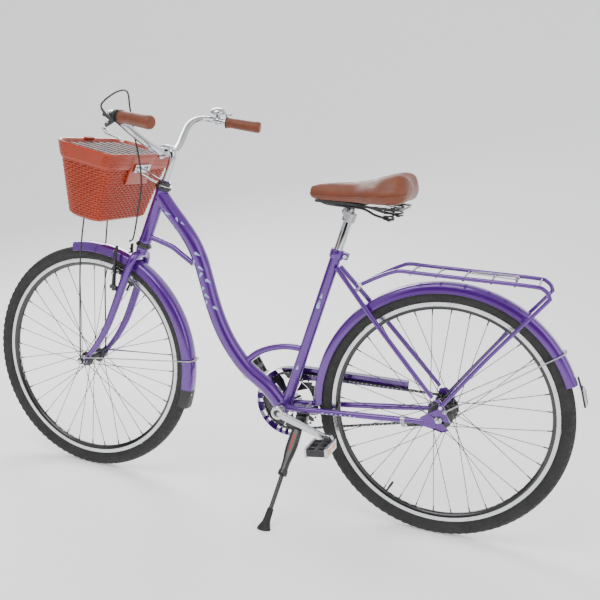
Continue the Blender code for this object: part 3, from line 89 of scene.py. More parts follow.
def upright(points):
    """Bicycle coordinates to where the leaning bicycle stands."""
    return np.asarray(points, float) @ LEAN.T + REAR_HUB


def turned(points):
    """The same, then turned with the handlebar about the steering axis."""
    return (upright(points) - STEER_POINT) @ STEER.T + STEER_POINT


def in_bike(point, steering=False):
    """A standing point back in bicycle coordinates."""
    point = np.asarray(point, float)
    if steering:
        point = (point - STEER_POINT) @ STEER + STEER_POINT
    return (point - REAR_HUB) @ LEAN


PLACES = {"frame": upright, "steering": turned}
AXLE = in_bike(FRONT_HUB, True)
HEAD_LOW = in_bike(STEER_POINT)
HEAD = in_bike(STEER_POINT + STEER_AXIS) - HEAD_LOW
BB = in_bike(JOINTS["crank_spin"]["pos_m"])
SEAT = in_bike(REAR_HUB + np.array(JOINTS["saddle_height"]["axis"]))
HEAD_LENGTH = 0.173
HEAD_TOP = HEAD_LOW + HEAD * HEAD_LENGTH
SEAT_TOP = BB + SEAT * 0.500


def axis_x(z):
    """Where the steering axis is at this height."""
    return HEAD_LOW[0] + (z - HEAD_LOW[2]) * HEAD[0] / HEAD[2]


# ---- surfaces ----
def unit(v):
    return v / np.maximum(np.linalg.norm(v, axis=-1, keepdims=True), 1e-9)


def smooth(points, steps=8, loop=False):
    """Catmull-Rom curve: each span is the cubic through its two points with slopes along their neighbours."""
    p = np.asarray(points, float)
    q = np.vstack([p[-1:], p, p[:2]]) if loop else np.vstack([p[:1], p, p[-1:]])
    a, b, c, d = q[:-3, None], q[1:-2, None], q[2:-1, None], q[3:, None]
    t = (np.arange(steps) / steps)[None, :, None]
    spans = 0.5 * (2 * b + (c - a) * t + (2 * a - 5 * b + 4 * c - d) * t ** 2
                   + (3 * b - a - 3 * c + d) * t ** 3)
    out = spans.reshape(-1, p.shape[1])
    return out if loop else np.vstack([out, p[-1:]])


def frames_along(path, loop=False):
    """Tangent and two normals at each point: the first normal keeps the direction it had, made square."""
    ahead = np.roll(path, -1, 0) - np.roll(path, 1, 0)
    if not loop:
        ahead[0], ahead[-1] = path[1] - path[0], path[-1] - path[-2]
    tangent = unit(ahead)
    side = np.empty_like(tangent)
    guide = np.array((0.0, 1.0, 0.0)) if abs(tangent[0, 1]) < 0.9 else np.array((0.0, 0.0, 1.0))
    for i, t in enumerate(tangent):
        guide = guide - t * (guide @ t)
        guide = guide / np.linalg.norm(guide)
        side[i] = guide
    return tangent, side, np.cross(tangent, side)


def sheet_of(points, wrap_u=False, wrap_v=False, material=0):
    """A grid of points (rows u, columns v) as (vertices, quads, uv per corner, material)."""
    nu, nv = points.shape[:2]
    index = np.arange(nu * nv).reshape(nu, nv)
    u, v = np.arange(nu if wrap_u else nu - 1), np.arange(nv if wrap_v else nv - 1)
    u, v = np.meshgrid(u, v, indexing="ij")
    u2, v2 = (u + 1) % nu, (v + 1) % nv
    quads = np.stack([index[u, v], index[u, v2], index[u2, v2], index[u2, v]], -1).reshape(-1, 4)
    su, sv = 1 / (nu if wrap_u else nu - 1), 1 / (nv if wrap_v else nv - 1)
    uv = np.stack([np.stack([(u + i) * su, (v + j) * sv], -1)
                   for i, j in ((0, 0), (0, 1), (1, 1), (1, 0))], 2).reshape(-1, 2)
    return points.reshape(-1, 3), quads, uv, material


def sweep(path, radius, sides=24, squash=1.0, loop=False, material=0, smooth_steps=0, ends=True):
    """A tube: at each path point a circle of the radius there, flattened along the second normal."""
    path = np.asarray(path, float)
    if smooth_steps:
        path = smooth(path, smooth_steps, loop)
    if path.shape[1] > 3:
        path, radius = path[:, :3], path[:, 3]
    radius = np.broadcast_to(np.asarray(radius, float), (len(path),))
    squash = np.broadcast_to(np.asarray(squash, float), (len(path),))
    _, side, up = frames_along(path, loop)
    a = np.arange(sides) * TURN / sides
    ring = (np.cos(a)[None, :, None] * side[:, None] + (np.sin(a)[None, :, None] * squash[:, None, None])
            * up[:, None])
    skin = path[:, None] + ring * radius[:, None, None]
    if ends and not loop:
        cap = [path[0] + (skin[0] - path[0]) * 0.0, path[-1] + (skin[-1] - path[-1]) * 0.0]
        skin = np.concatenate([cap[0][None], skin[:1], skin, skin[-1:], cap[1][None]])
    return sheet_of(skin, loop, True, material)


def lathe(profile, centre, axis, steps=48, material=0, smooth_steps=0, loop=False, wobble=None):
    """Points (radius, height) turned round the axis; wobble(angle, row) may scale the radius."""
    profile = np.asarray(profile, float)
    if smooth_steps:
        profile = smooth(profile, smooth_steps, loop)
    axis = unit(np.asarray(axis, float))
    side = unit(np.cross(axis, (0.0, 0.0, 1.0) if abs(axis[2]) < 0.9 else (1.0, 0.0, 0.0)))
    up = np.cross(axis, side)
    a = np.arange(steps) * TURN / steps
    r = profile[:, 0, None] * (wobble(a[None], np.arange(len(profile))[:, None]) if wobble else 1)
    skin = (np.asarray(centre, float) + r[..., None] * (np.cos(a)[:, None] * side + np.sin(a)[:, None] * up)
            + profile[:, 1, None, None] * axis)
    return sheet_of(skin, loop, True, material)


def slab(size, centre, turn=None, rounding=0.3, rows=7, sides=28, material=0, power=5.0):
    """A soft-edged box: cross-sections are superellipses, and they draw in near both ends by a quarter circle."""
    half = np.asarray(size, float) / 2
    edge = rounding * half.min()
    a = (np.arange(sides) + 0.5) * TURN / sides
    c, s = np.cos(a), np.sin(a)
    ring = np.stack([np.sign(c) * abs(c) ** (2 / power), np.sign(s) * abs(s) ** (2 / power)], -1)
    t = np.linspace(0, math.pi / 2, rows)
    inset = edge * (1 - np.sin(t))
    rise = edge * (1 - np.cos(t))
    inset = np.concatenate([[half.min()], inset, inset[::-1], [half.min()]])
    height = np.concatenate([[-half[2]], -half[2] + rise, (half[2] - rise)[::-1], [half[2]]])
    flat = ring[None] * np.maximum(half[None, None, :2] - inset[:, None, None], 1e-5)
    skin = np.concatenate([flat, np.broadcast_to(height[:, None, None], (*flat.shape[:2], 1))], -1)
    skin = skin @ (np.eye(3) if turn is None else np.asarray(turn)).T + np.asarray(centre, float)
    return sheet_of(skin, False, True, material)


def rod(start, end, radius, sides=16, material=0, edge=0.15):
    """A straight bar with softened ends."""
    start, end = np.asarray(start, float), np.asarray(end, float)
    way = unit(end - start)
    soft = edge * radius
    path = np.array([start, start + way * soft, end - way * soft, end])
    return sweep(path, np.array([radius - soft, radius, radius, radius - soft]), sides, material=material)


def nut(centre, axis, radius, height, material=0, sides=6):
    """A hexagon nut: a six-sided prism whose corners are cut back by a shallow cone."""
    rows = [(0.0, 0.0), (radius * 0.86, 0.0), (radius, height * 0.12), (radius, height * 0.8),
            (radius * 0.84, height), (0.0, height)]
    return lathe(rows, centre, axis, sides, material)


def domed(centre, axis, radius, height, material=0):
    """A bolt head: a low dome."""
    rows = [(0, height), (radius * 0.5, height * 0.93), (radius * 0.85, height * 0.62), (radius, 0.1 * height),
            (radius, 0), (0, 0)]
    return lathe(rows, centre, axis, 14, material)


def moved(part, place):
    return place(part[0]), *part[1:]


def piece(name, parts, materials, body, replaces=(), place=None, crease=40, weld=True):
    """One object from several parts, welded, facing outwards, in place, riding on its body."""
    place = place or PLACES.get(body, upright)
    points, faces, uvs, slots, above = [], [], [], [], 0
    for part_points, quads, uv, material in parts:
        points.append(part_points)
        faces.append(quads + above)
        uvs.append(uv)
        slots.append(np.full(len(quads), material))
        above += len(part_points)
    points, faces = place(np.concatenate(points)), np.concatenate(faces)
    mesh = bpy.data.meshes.new(name)
    mesh.from_pydata(points, [], faces)
    mesh.uv_layers.new(name="surface").data.foreach_set("uv", np.concatenate(uvs).astype(np.float32).ravel())
    mesh.polygons.foreach_set("material_index", np.concatenate(slots).astype(np.int32))
    for material in materials:
        mesh.materials.append(material)
    obj = bpy.data.objects.new(name, mesh)
    bpy.context.scene.collection.objects.link(obj)
    finish_mesh(mesh, crease, weld)
    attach(obj, body)
    if replaces:
        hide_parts(*replaces)
    return obj


def finish_mesh(mesh, crease=40, weld=True):
    """Welds doubled points, drops collapsed faces, points each shell outwards and shades it smooth."""
    body = bmesh.new()
    body.from_mesh(mesh)
    if weld:
        bmesh.ops.remove_doubles(body, verts=body.verts, dist=2e-6)
    bmesh.ops.dissolve_degenerate(body, edges=body.edges, dist=1e-7)
    bmesh.ops.recalc_face_normals(body, faces=body.faces)
    body.to_mesh(mesh)
    body.free()
    mesh.polygons.foreach_set("use_smooth", np.ones(len(mesh.polygons), bool))
    mesh.set_sharp_from_angle(angle=math.radians(crease))


def flat_piece(outline, holes, thickness, y, material=0):
    """A plate in the XZ plane as parts: two filled faces and their rims."""
    body = bmesh.new()
    for ring in [outline, *holes]:
        made = [body.verts.new((x, 0, z)) for x, z in ring]
        for i, vert in enumerate(made):
            body.edges.new((vert, made[(i + 1) % len(made)]))
    bmesh.ops.triangle_fill(body, use_beauty=True, edges=body.edges, normal=(0, -1, 0))
    body.verts.ensure_lookup_table()
    points = np.array([v.co[:] for v in body.verts])
    faces = np.array([[v.index for v in f.verts] for f in body.faces])
    body.free()
    faces = np.column_stack([faces, faces[:, 2]])
    parts = []
    for side in (1, -1):
        skin = points + (0, y + side * thickness / 2, 0)
        parts.append((skin, faces, points[:, (0, 2)][faces].reshape(-1, 2), material))
    for ring in [outline, *holes]:
        ring = np.asarray(ring, float)
        wall = np.stack([np.column_stack([ring[:, 0], np.full(len(ring), y + side * thickness / 2), ring[:, 1]])
                         for side in (-1, 1)])
        parts.append(sheet_of(wall, False, True, material))
    return parts


# ---- finishes ----
def shader(name, colour, rough, metallic=0.0, **sockets):
    """A Principled material with constant values on its own sockets."""
    made = bpy.data.materials.new(name)
    made.use_nodes = True
    node = made.node_tree.nodes["Principled BSDF"]
    node.inputs["Base Color"].default_value = (*colour, 1)
    node.inputs["Roughness"].default_value = rough
    node.inputs["Metallic"].default_value = metallic
    for socket, value in sockets.items():
        node.inputs[socket.replace("_", " ")].default_value = value
    made.diffuse_color = (*colour, 1)
    return made, made.node_tree.nodes, made.node_tree.links, node


def noise(nodes, links, coords, scale, detail=3.0, kind="NOISE", stretch=None):
    """A Noise or Voronoi pattern on Object coordinates, stretched by a Mapping node when asked."""
    source = coords.outputs["Object"]
    if stretch:
        turn = nodes.new("ShaderNodeMapping")
        turn.inputs["Scale"].default_value = stretch
        links.new(source, turn.inputs["Vector"])
        source = turn.outputs["Vector"]
    if kind == "VORONOI":
        made = nodes.new("ShaderNodeTexVoronoi")
        made.inputs["Scale"].default_value = scale
        links.new(source, made.inputs["Vector"])
        return made.outputs["Distance"]
    made = nodes.new("ShaderNodeTexNoise")
    made.inputs["Scale"].default_value = scale
    made.inputs["Detail"].default_value = detail
    links.new(source, made.inputs["Vector"])
    return made.outputs["Fac"]


def spread(nodes, links, value, low, high, from_low=0.3, from_high=0.7):
    """Maps a pattern's middle range onto low..high."""
    made = nodes.new("ShaderNodeMapRange")
    made.inputs["From Min"].default_value = from_low
    made.inputs["From Max"].default_value = from_high
    made.inputs["To Min"].default_value = low
    made.inputs["To Max"].default_value = high
    links.new(value, made.inputs["Value"])
    return made.outputs["Result"]


def blended(nodes, links, value, first, second):
    """A colour between two, by the pattern's value."""
    made = nodes.new("ShaderNodeMix")
    made.data_type = "RGBA"
    made.inputs["A"].default_value = (*first, 1)
    made.inputs["B"].default_value = (*second, 1)
    links.new(value, made.inputs["Factor"])
    return made.outputs["Result"]


def bump(nodes, links, node, value, strength, distance):
    made = nodes.new("ShaderNodeBump")
    made.inputs["Strength"].default_value = strength
    made.inputs["Distance"].default_value = distance
    links.new(value, made.inputs["Height"])
    links.new(made.outputs["Normal"], node.inputs["Normal"])


def finish(name, colour, second, rough, metallic=0.0, patch=14.0, grain=900.0, relief=0.15, depth=0.0002,
           rough_spread=0.06, kind="NOISE", stretch=None, **sockets):
    """Patches of two close colours, uneven gloss, and a fine grain in relief."""
    made, nodes, links, node = shader(name, colour, rough, metallic, **sockets)
    coords = nodes.new("ShaderNodeTexCoord")
    patches = noise(nodes, links, coords, patch, 4.0)
    tone = blended(nodes, links, spread(nodes, links, patches, 0, 1), colour, second)
    links.new(tone, node.inputs["Base Color"])
    gloss = noise(nodes, links, coords, patch * 4.3, 5.0)
    links.new(spread(nodes, links, gloss, max(rough - rough_spread, 0.02), rough + rough_spread),
              node.inputs["Roughness"])
    bump(nodes, links, node, noise(nodes, links, coords, grain, 2.0, kind, stretch), relief, depth)
    return made


def make_finishes(colours):
    """Every material of the bicycle, by its plain name."""
    paint = tuple(colours.paint)
    deep = tuple(c * 0.8 for c in paint)
    wicker, wicker_deep = tuple(colours.basket), tuple(c * 0.72 for c in colours.basket)
    hide, hide_deep = tuple(colours.leather), tuple(c * 0.72 for c in colours.leather)
    made = {
        "paint": finish("glossy_paint", paint, deep, 0.20, 0.35, 5.0, 2600.0, 0.05, 0.00004, 0.04,
                        Coat_Weight=1.0, Coat_Roughness=0.04),
        "pale_paint": finish("pale_blue_decoration", (0.42, 0.58, 0.82), (0.33, 0.48, 0.74), 0.25, 0.0, 40.0,
                             2000.0, 0.04, 0.00004, 0.05, Coat_Weight=0.8),
        "chrome": finish("polished_chrome", (0.66, 0.67, 0.69), (0.60, 0.61, 0.63), 0.08, 1.0, 18.0, 700.0,
                         0.02, 0.00005, 0.04),
        "steel": finish("zinc_plated_steel", (0.50, 0.50, 0.51), (0.40, 0.41, 0.43), 0.32, 1.0, 60.0, 1500.0,
                        0.10, 0.00006, 0.10),
        "alloy": finish("satin_alloy", (0.66, 0.67, 0.68), (0.58, 0.59, 0.61), 0.28, 1.0, 24.0, 1800.0,
                        0.06, 0.00005, 0.08),
        "brake_track": finish("brushed_brake_track", (0.70, 0.71, 0.72), (0.60, 0.61, 0.62), 0.25, 1.0, 30.0,
                              2200.0, 0.12, 0.00006, 0.10),
        "black": finish("black_enamel", (0.012, 0.012, 0.013), (0.018, 0.018, 0.019), 0.30, 0.0, 20.0, 1300.0,
                        0.10, 0.00006, 0.08, Coat_Weight=0.3),
        "rubber": finish("tyre_rubber", (0.016, 0.016, 0.016), (0.026, 0.025, 0.024), 0.78, 0.0, 22.0, 1600.0,
                         0.35, 0.0002, 0.10),
        "plastic": finish("black_moulded_plastic", (0.020, 0.020, 0.021), (0.030, 0.030, 0.031), 0.48, 0.0,
                          30.0, 1900.0, 0.30, 0.0001, 0.08),
        "leather": finish("grained_saddle_cover", hide, hide_deep, 0.48, 0.0, 26.0, 620.0, 0.25, 0.0003,
                          0.08, kind="VORONOI", Sheen_Weight=0.15),
        "grip": finish("soft_grip", hide, hide_deep, 0.52, 0.0, 40.0, 1100.0, 0.35, 0.0003, 0.07,
                       kind="VORONOI", Sheen_Weight=0.1),
        "wicker": finish("woven_plastic_strand", wicker, wicker_deep, 0.34, 0.0, 9.0, 1400.0, 0.05, 0.0001,
                         0.06, Coat_Weight=0.2),
        "moulded": finish("moulded_basket_rim", wicker, tuple(c * 0.85 for c in wicker), 0.34, 0.0, 16.0,
                          1500.0, 0.12, 0.0001, 0.06, Coat_Weight=0.25),
        "slats": finish("dark_lid_slats", (0.060, 0.007, 0.005), (0.038, 0.005, 0.004), 0.55, 0.0, 24.0,
                        500.0, 0.08, 0.0001, 0.06, Specular_IOR_Level=0.25),
        "amber": finish("amber_reflector", (0.95, 0.28, 0.02), (0.85, 0.20, 0.01), 0.12, 0.0, 50.0, 520.0,
                        0.9, 0.0006, 0.05, kind="VORONOI", Coat_Weight=0.8),
        "clear": finish("clear_reflector", (0.62, 0.63, 0.66), (0.48, 0.49, 0.53), 0.10, 0.25, 50.0, 430.0,
                        0.9, 0.0006, 0.05, kind="VORONOI", Coat_Weight=0.8),
        "red": finish("red_insert", (0.55, 0.02, 0.02), (0.42, 0.01, 0.015), 0.35, 0.0, 30.0, 1500.0, 0.1,
                      0.0001, 0.06),
        "spoke": finish("dark_spoke_steel", (0.10, 0.10, 0.105), (0.07, 0.07, 0.075), 0.34, 1.0, 60.0, 1500.0,
                        0.05, 0.00005, 0.08),
        "rim_wall": rim_wall(),
        "floor": finish("pale_floor", (0.97, 0.97, 0.97), (0.96, 0.96, 0.962), 0.75, 0.0, 0.7, 60.0, 0.03,
                        0.0005, 0.05, Emission_Color=(1.0, 1.0, 1.0, 1.0), Emission_Strength=0.35),
    }
    return made


def rim_wall():
    """Black rim sides with broken runs of a pale zigzag: the line's height is a triangle wave of the angle."""
    made, nodes, links, node = shader("black_rim_side", (0.012, 0.012, 0.013), 0.26, 0.0, Coat_Weight=0.5)
    place = nodes.new("ShaderNodeUVMap")
    place.uv_map = "surface"
    split = nodes.new("ShaderNodeSeparateXYZ")
    links.new(place.outputs["UV"], split.inputs["Vector"])

    def maths(operation, first, second=0.0, third=0.0):
        step = nodes.new("ShaderNodeMath")
        step.operation = operation
        for socket, value in zip(step.inputs, (first, second, third)):
            if isinstance(value, float):
                socket.default_value = value
            else:
                links.new(value, socket)
        return step.outputs["Value"]

    around, across = split.outputs["Y"], split.outputs["X"]
    zig = maths("PINGPONG", maths("MULTIPLY", around, 150.0), 1.0)
    height = maths("MULTIPLY_ADD", zig, 0.16, 0.42)
    gap = maths("ABSOLUTE", maths("SUBTRACT", across, height))
    line = maths("LESS_THAN", gap, 0.045)
    run = maths("FRACT", maths("MULTIPLY", around, 6.0))
    shown = maths("MULTIPLY", line, maths("LESS_THAN", run, 0.42))
    mix = blended(nodes, links, shown, (0.012, 0.012, 0.013), (0.62, 0.62, 0.64))
    links.new(mix, node.inputs["Base Color"])
    coords = nodes.new("ShaderNodeTexCoord")
    bump(nodes, links, node, noise(nodes, links, coords, 1400.0), 0.08, 0.00006)
    return made


M = {}


# ---- wheels ----
RIM_OUT, TRACK_IN, RIM_IN, RIM_HALF = 0.3172, 0.3056, 0.2942, 0.0110
SPOKES_A_SIDE = 18


def tyre(hub):
    """A round casing; along both shoulders and the crown the radius drops between tread blocks."""
    half = np.array([(0.3176, 0.0100), (0.3225, 0.0160), (0.3315, 0.0206), (0.3400, 0.0218), (0.3465, 0.0204),
                     (0.3510, 0.0165), (0.3538, 0.0110), (0.3548, 0.0050), (0.3550, 0.0)])
    loop = smooth(np.vstack([half, (half * (1, -1))[-2::-1]]), 3)
    r, h = loop[:, 0, None], loop[:, 1, None]

    def blocks(angle, row):
        shoulder = np.clip((np.abs(h) - 0.0085) / 0.003, 0, 1) * np.clip((r - 0.3445) / 0.003, 0, 1)
        crown = np.clip((0.0075 - np.abs(h)) / 0.002, 0, 1)
        side = np.tanh(4 * np.sin(96 * angle + np.sign(h) * 1.5)) * 0.5 + 0.5
        middle = np.tanh(4 * np.sin(96 * angle + 700 * h)) * 0.5 + 0.5
        return 1 - 0.0055 * shoulder * side - 0.0032 * crown * middle

    return lathe(loop, hub, (0, 1, 0), 576, 0, loop=True, wobble=blocks)


def rim(hub):
    wall = [(TRACK_IN, RIM_HALF), (0.3020, 0.0098), (0.2975, 0.0070), (0.2950, 0.0035), (RIM_IN, 0.0)]
    wall = smooth(wall + [(r, -h) for r, h in wall[-2::-1]], 3)
    track = [wall[-1], (RIM_OUT - 0.001, -RIM_HALF), (RIM_OUT, -RIM_HALF + 0.001), (RIM_OUT - 0.0025, -0.0085),
             (RIM_OUT - 0.0050, 0.0), (RIM_OUT - 0.0025, 0.0085), (RIM_OUT, RIM_HALF - 0.001),
             (RIM_OUT - 0.001, RIM_HALF), wall[0]]
    return [lathe(wall, hub, (0, 1, 0), 240, 1), lathe(track, hub, (0, 1, 0), 240, 0)]


def spokes(hub, flange, flange_y, material=1):
    """Thirty-six spokes, each from one flange to the rim three holes ahead or behind, with its nipple."""
    parts, step = [], TURN / SPOKES_A_SIDE
    for side in (1, -1):
        for i in range(SPOKES_A_SIDE):
            lead = 1 if i % 2 else -1
            first = i * step + (step / 2 if side < 0 else 0)
            last = first + lead * 3 * step
            a = hub + (flange * math.cos(first), side * (flange_y + lead * 0.0022), flange * math.sin(first))
            b = hub + ((RIM_IN + 0.001) * math.cos(last), side * 0.002, (RIM_IN + 0.001) * math.sin(last))
            way = unit(b - a)
            parts.append(sweep([a, b], 0.00105, 8, material=material))
            parts.append(sweep([b - way * 0.014, b - way * 0.0135, b], [0.0012, 0.0019, 0.0021], 8,
                               material=material))
            parts.append(domed(a, (0, side * lead, 0), 0.0021, 0.0009, material))
    return parts


def hub_shell(hub, half, barrel, flange, flange_y):
    side = [(0.0056, half), (barrel * 0.72, half), (barrel * 0.78, half - 0.003), (barrel * 0.86, flange_y + 0.006),
            (flange + 0.0040, flange_y + 0.0022), (flange + 0.0046, flange_y), (flange + 0.0040, flange_y - 0.0022),
            (barrel * 1.05, flange_y - 0.006), (barrel * 0.98, flange_y - 0.012)]
    rows = side + [(r, -h) for r, h in side[::-1]]
    return lathe(rows, hub, (0, 1, 0), 48, 0, loop=True)


def axle_ends(hub, half, dropout):
    """A threaded axle, and on each side a washer, a flanged nut and the cone inside the dropout."""
    thread = np.arange(-half, half, 0.0006)
    rows = [(0, -half), *[(0.0046 if i % 2 else 0.0042, z) for i, z in enumerate(thread)], (0.0040, half), (0, half)]
    parts = [lathe(rows, hub, (0, 1, 0), 14, 0)]
    for side in (1, -1):
        out = np.array((0, side, 0.0))
        parts.append(lathe([(0.0047, 0.0005), (0.0098, 0.0005), (0.0098, 0.0022), (0.0047, 0.0022)],
                           hub + out * dropout, out, 28, 0, loop=True))
        parts.append(nut(hub + out * (dropout + 0.0022), out, 0.0088, 0.0072))
        parts.append(lathe([(0.0047, 0.0), (0.0047, 0.0078), (0.0056, 0.0092), (0.0060, 0.0)],
                           hub + out * (dropout + 0.0015), out, 20, 0, loop=True))
    return parts


def make_wheels():
    for tag, hub, place, body, flange, flange_y, barrel, half in (
            ("rear", np.zeros(3), upright, "rear_wheel", 0.031, 0.027, 0.024, 0.038),
            ("front", AXLE, turned, "front_wheel", 0.018, 0.030, 0.0125, 0.043)):
        piece(tag + "_treaded_tyre", [tyre(hub)], [M["rubber"]], body, [tag + "_tyre"], place, 30)
        parts = rim(hub)
        a = math.radians(-62 if tag == "rear" else 118)
        out = np.array((math.cos(a), 0, math.sin(a)))
        piece(tag + "_decorated_rim", parts, [M["brake_track"], M["rim_wall"]], body, [tag + "_rim"],
              place, 35)
        stem = [rod(hub + out * (RIM_IN + 0.001), hub + out * (RIM_IN - 0.012), 0.0031, 12, 1),
                rod(hub + out * (RIM_IN - 0.012), hub + out * (RIM_IN - 0.034), 0.0037, 12, 1, 0.5)]
        laced = [hub_shell(hub, half, barrel, flange, flange_y), *spokes(hub, flange, flange_y, 2), *stem]
        piece(tag + "_laced_hub", laced, [M["black"], M["plastic"], M["spoke"]], body, [tag + "_hub"],
              place, 40)
    piece("rear_axle_nuts", axle_ends(np.zeros(3), 0.078, 0.061), [M["chrome"]], "frame", ["rear_axle"])
    piece("front_axle_nuts", axle_ends(AXLE, 0.068, 0.0525), [M["chrome"]], "steering", ["front_axle"])


# ---- frame ----
def on_head(share):
    return tuple(HEAD_LOW + HEAD * (HEAD_LENGTH * share))


DOWN_PATH = smooth([on_head(0.90), (0.852, 0, 0.494), (0.812, 0, 0.449), (0.777, 0, 0.404), (0.750, 0, 0.354),
                    (0.729, 0, 0.295), (0.710, 0, 0.238), (0.687, 0, 0.181), (0.660, 0, 0.130),
                    (0.628, 0, 0.085), (0.586, 0, 0.041), tuple(BB + (0.060, 0, 0.048)),
                    tuple(BB + (0.012, 0, -0.002))], 8)
DOWN_RADIUS = 0.0235
SEAT_PATH = np.array([BB + SEAT * 0.018, SEAT_TOP])
SEAT_RADIUS = 0.016
DROPOUT = [(0.050, -0.022), (0.050, 0.000), (0.030, 0.014), (0.022, 0.052), (0.002, 0.058), (-0.012, 0.040),
           (-0.022, 0.016), (-0.034, -0.006), (-0.030, -0.026), (-0.012, -0.034), (0.012, -0.028)]
STAY_LOW = [(BB[0] - 0.004, 0.0255, BB[2] + 0.004, 0.0090), (0.405, 0.0315, -0.047, 0.0090),
            (0.350, 0.0350, -0.0415, 0.0083), (0.240, 0.0435, -0.0310, 0.0090),
            (0.120, 0.0525, -0.0195, 0.0086), (0.040, 0.0585, -0.0110, 0.0065)]
STAY_HIGH = [(0.3245, 0.0165, 0.3775, 0.007), (0.302, 0.0215, 0.354, 0.007), (0.268, 0.0290, 0.318, 0.007),
             (0.236, 0.0360, 0.284, 0.007), (0.180, 0.0450, 0.2245, 0.007), (0.090, 0.0540, 0.130, 0.007),
             (0.022, 0.0588, 0.0595, 0.0056)]


def circle(x, z, radius, sides=20):
    a = np.arange(sides) * TURN / sides
    return np.column_stack([x + radius * np.cos(a), z + radius * np.sin(a)])


def on_side(points, side):
    points = np.array(points, float)
    points[:, 1] *= side
    return points


def bead(path, at, radius, size=0.0016):
    """A weld bead: a small ring round the tube where it meets its neighbour."""
    t = frames_along(path)[0][at]
    rows = [(radius - 0.0005, -size), (radius + size * 0.7, -size * 0.3), (radius + size * 0.7, size * 0.3),
            (radius - 0.0005, size)]
    return lathe(rows, path[at], t, 40, 0, loop=True)


def make_frame():
    paint = [M["paint"]]
    rows = [(0.0148, 0.0), (0.0180, 0.0), (0.0192, 0.001), (0.0192, 0.011), (0.0180, 0.013),
            (0.0180, HEAD_LENGTH - 0.013), (0.0192, HEAD_LENGTH - 0.011), (0.0192, HEAD_LENGTH - 0.001),
            (0.0180, HEAD_LENGTH), (0.0148, HEAD_LENGTH)]
    piece("painted_head_tube", [lathe(rows, HEAD_LOW, HEAD, 56, loop=True)], paint, "frame", ["head_tube"])
    piece("painted_down_tube", [sweep(DOWN_PATH, DOWN_RADIUS, 40), bead(DOWN_PATH, 6, DOWN_RADIUS)], paint,
          "frame", ["down_tube"])
    strut = smooth([on_head(0.13), (0.851, 0, 0.3855), (0.812, 0, 0.363), (0.772, 0, 0.338)], 6)
    piece("painted_head_strut", [sweep(strut, 0.0085, 24), bead(strut, 4, 0.0085)], paint, "frame",
          ["head_strut"])
    arch = smooth([(0.600, 0, 0.050), (0.578, 0, 0.077), (0.550, 0, 0.099), (0.512, 0, 0.1165),
                   (0.466, 0, 0.1270), tuple(BB + SEAT * 0.187)], 6)
    piece("painted_arch", [sweep(arch, 0.0095, 24)], paint, "frame", ["arch_strut"])
    rows = [(0.0131, 0.0), (SEAT_RADIUS, 0.0), (SEAT_RADIUS, 0.500), (0.0131, 0.500)]
    piece("painted_seat_tube", [lathe(rows, BB, SEAT, 40, loop=True)], paint, "frame", ["seat_tube"])
    rows = [(0.0128, 0.034), (0.0195, 0.034), (0.0208, 0.032), (0.0208, 0.026), (0.0200, 0.024)]
    rows = rows + [(r, -h) for r, h in rows[::-1]]
    piece("painted_bottom_shell", [lathe(rows, BB, (0, 1, 0), 48, loop=True)], paint, "frame", ["bb_shell"])
    low, high = [], []
    for side in (1, -1):
        low.append(sweep(on_side(STAY_LOW, side), 0, 24, smooth_steps=8))
        low += flat_piece(DROPOUT, [circle(0, 0, 0.0056)], 0.005, side * 0.0585)
        high.append(sweep(on_side(STAY_HIGH, side), 0, 20, smooth_steps=6))
    low.append(rod((0.388, -0.030, -0.045), (0.388, 0.030, -0.045), 0.006, 20))
    high.append(rod((0.268, -0.030, 0.318), (0.268, 0.030, 0.318), 0.006, 20))
    piece("painted_chainstays", low, paint, "frame", ["chainstays"])
    piece("painted_seatstays", high, paint, "frame", ["seatstays"])
    cup = [(0.0131, -0.0004), (0.0213, -0.0006), (0.0213, -0.0060), (0.0236, -0.0066), (0.0246, -0.0080),
           (0.0246, -0.0118), (0.0232, -0.0135), (0.0205, -0.0158), (0.0131, -0.0158)]
    piece("lower_headset_cups", [lathe(cup, HEAD_LOW, HEAD, 48, loop=True)], [M["black"]], "frame",
          ["headset_lower"])
    cup = [(0.0131, 0.0004), (0.0213, 0.0006), (0.0213, 0.0040), (0.0244, 0.0048), (0.0248, 0.0062),
           (0.0244, 0.0086), (0.0222, 0.0128), (0.0131, 0.0128)]
    piece("upper_headset_cups", [lathe(cup, HEAD_TOP, HEAD, 48, loop=True)], [M["black"]], "frame",
          ["headset_upper"])


# ---- painted decoration: plain leaves and dots laid on a tube ----
def on_tube(path, radius, along, round_it):
    """A point at a length along the path and an angle round it; the angle is measured from the left side."""
    step = np.linalg.norm(np.diff(path, axis=0), axis=1)
    length = np.concatenate([[0], np.cumsum(step)])
    _, side, up = frames_along(path)
    at = [np.stack([np.interp(along, length, column) for column in rows.T], -1) for rows in (path, side, up)]
    return at[0] + radius * (np.cos(round_it)[..., None] * at[1] + np.sin(round_it)[..., None] * at[2])


def leaf(path, radius, along, angle, size, width, heading, rows=13):
    """A leaf: its half width is the sine of how far along it is, turned by the heading on the unrolled tube."""
    u, w = np.meshgrid(np.linspace(0, 1, rows), np.linspace(-1, 1, 5), indexing="ij")
    x, y = size * u, width * np.sin(math.pi * u) ** 0.8 * w
    a = along + x * math.cos(heading) - y * math.sin(heading)
    b = angle + (x * math.sin(heading) + y * math.cos(heading)) / radius
    lift = radius + 0.00035 - 0.0003 * np.abs(w)
    return sheet_of(on_tube(path, 1.0, a, b) * lift[..., None] + on_tube(path, 0.0, a, b) * (1 - lift[..., None]))


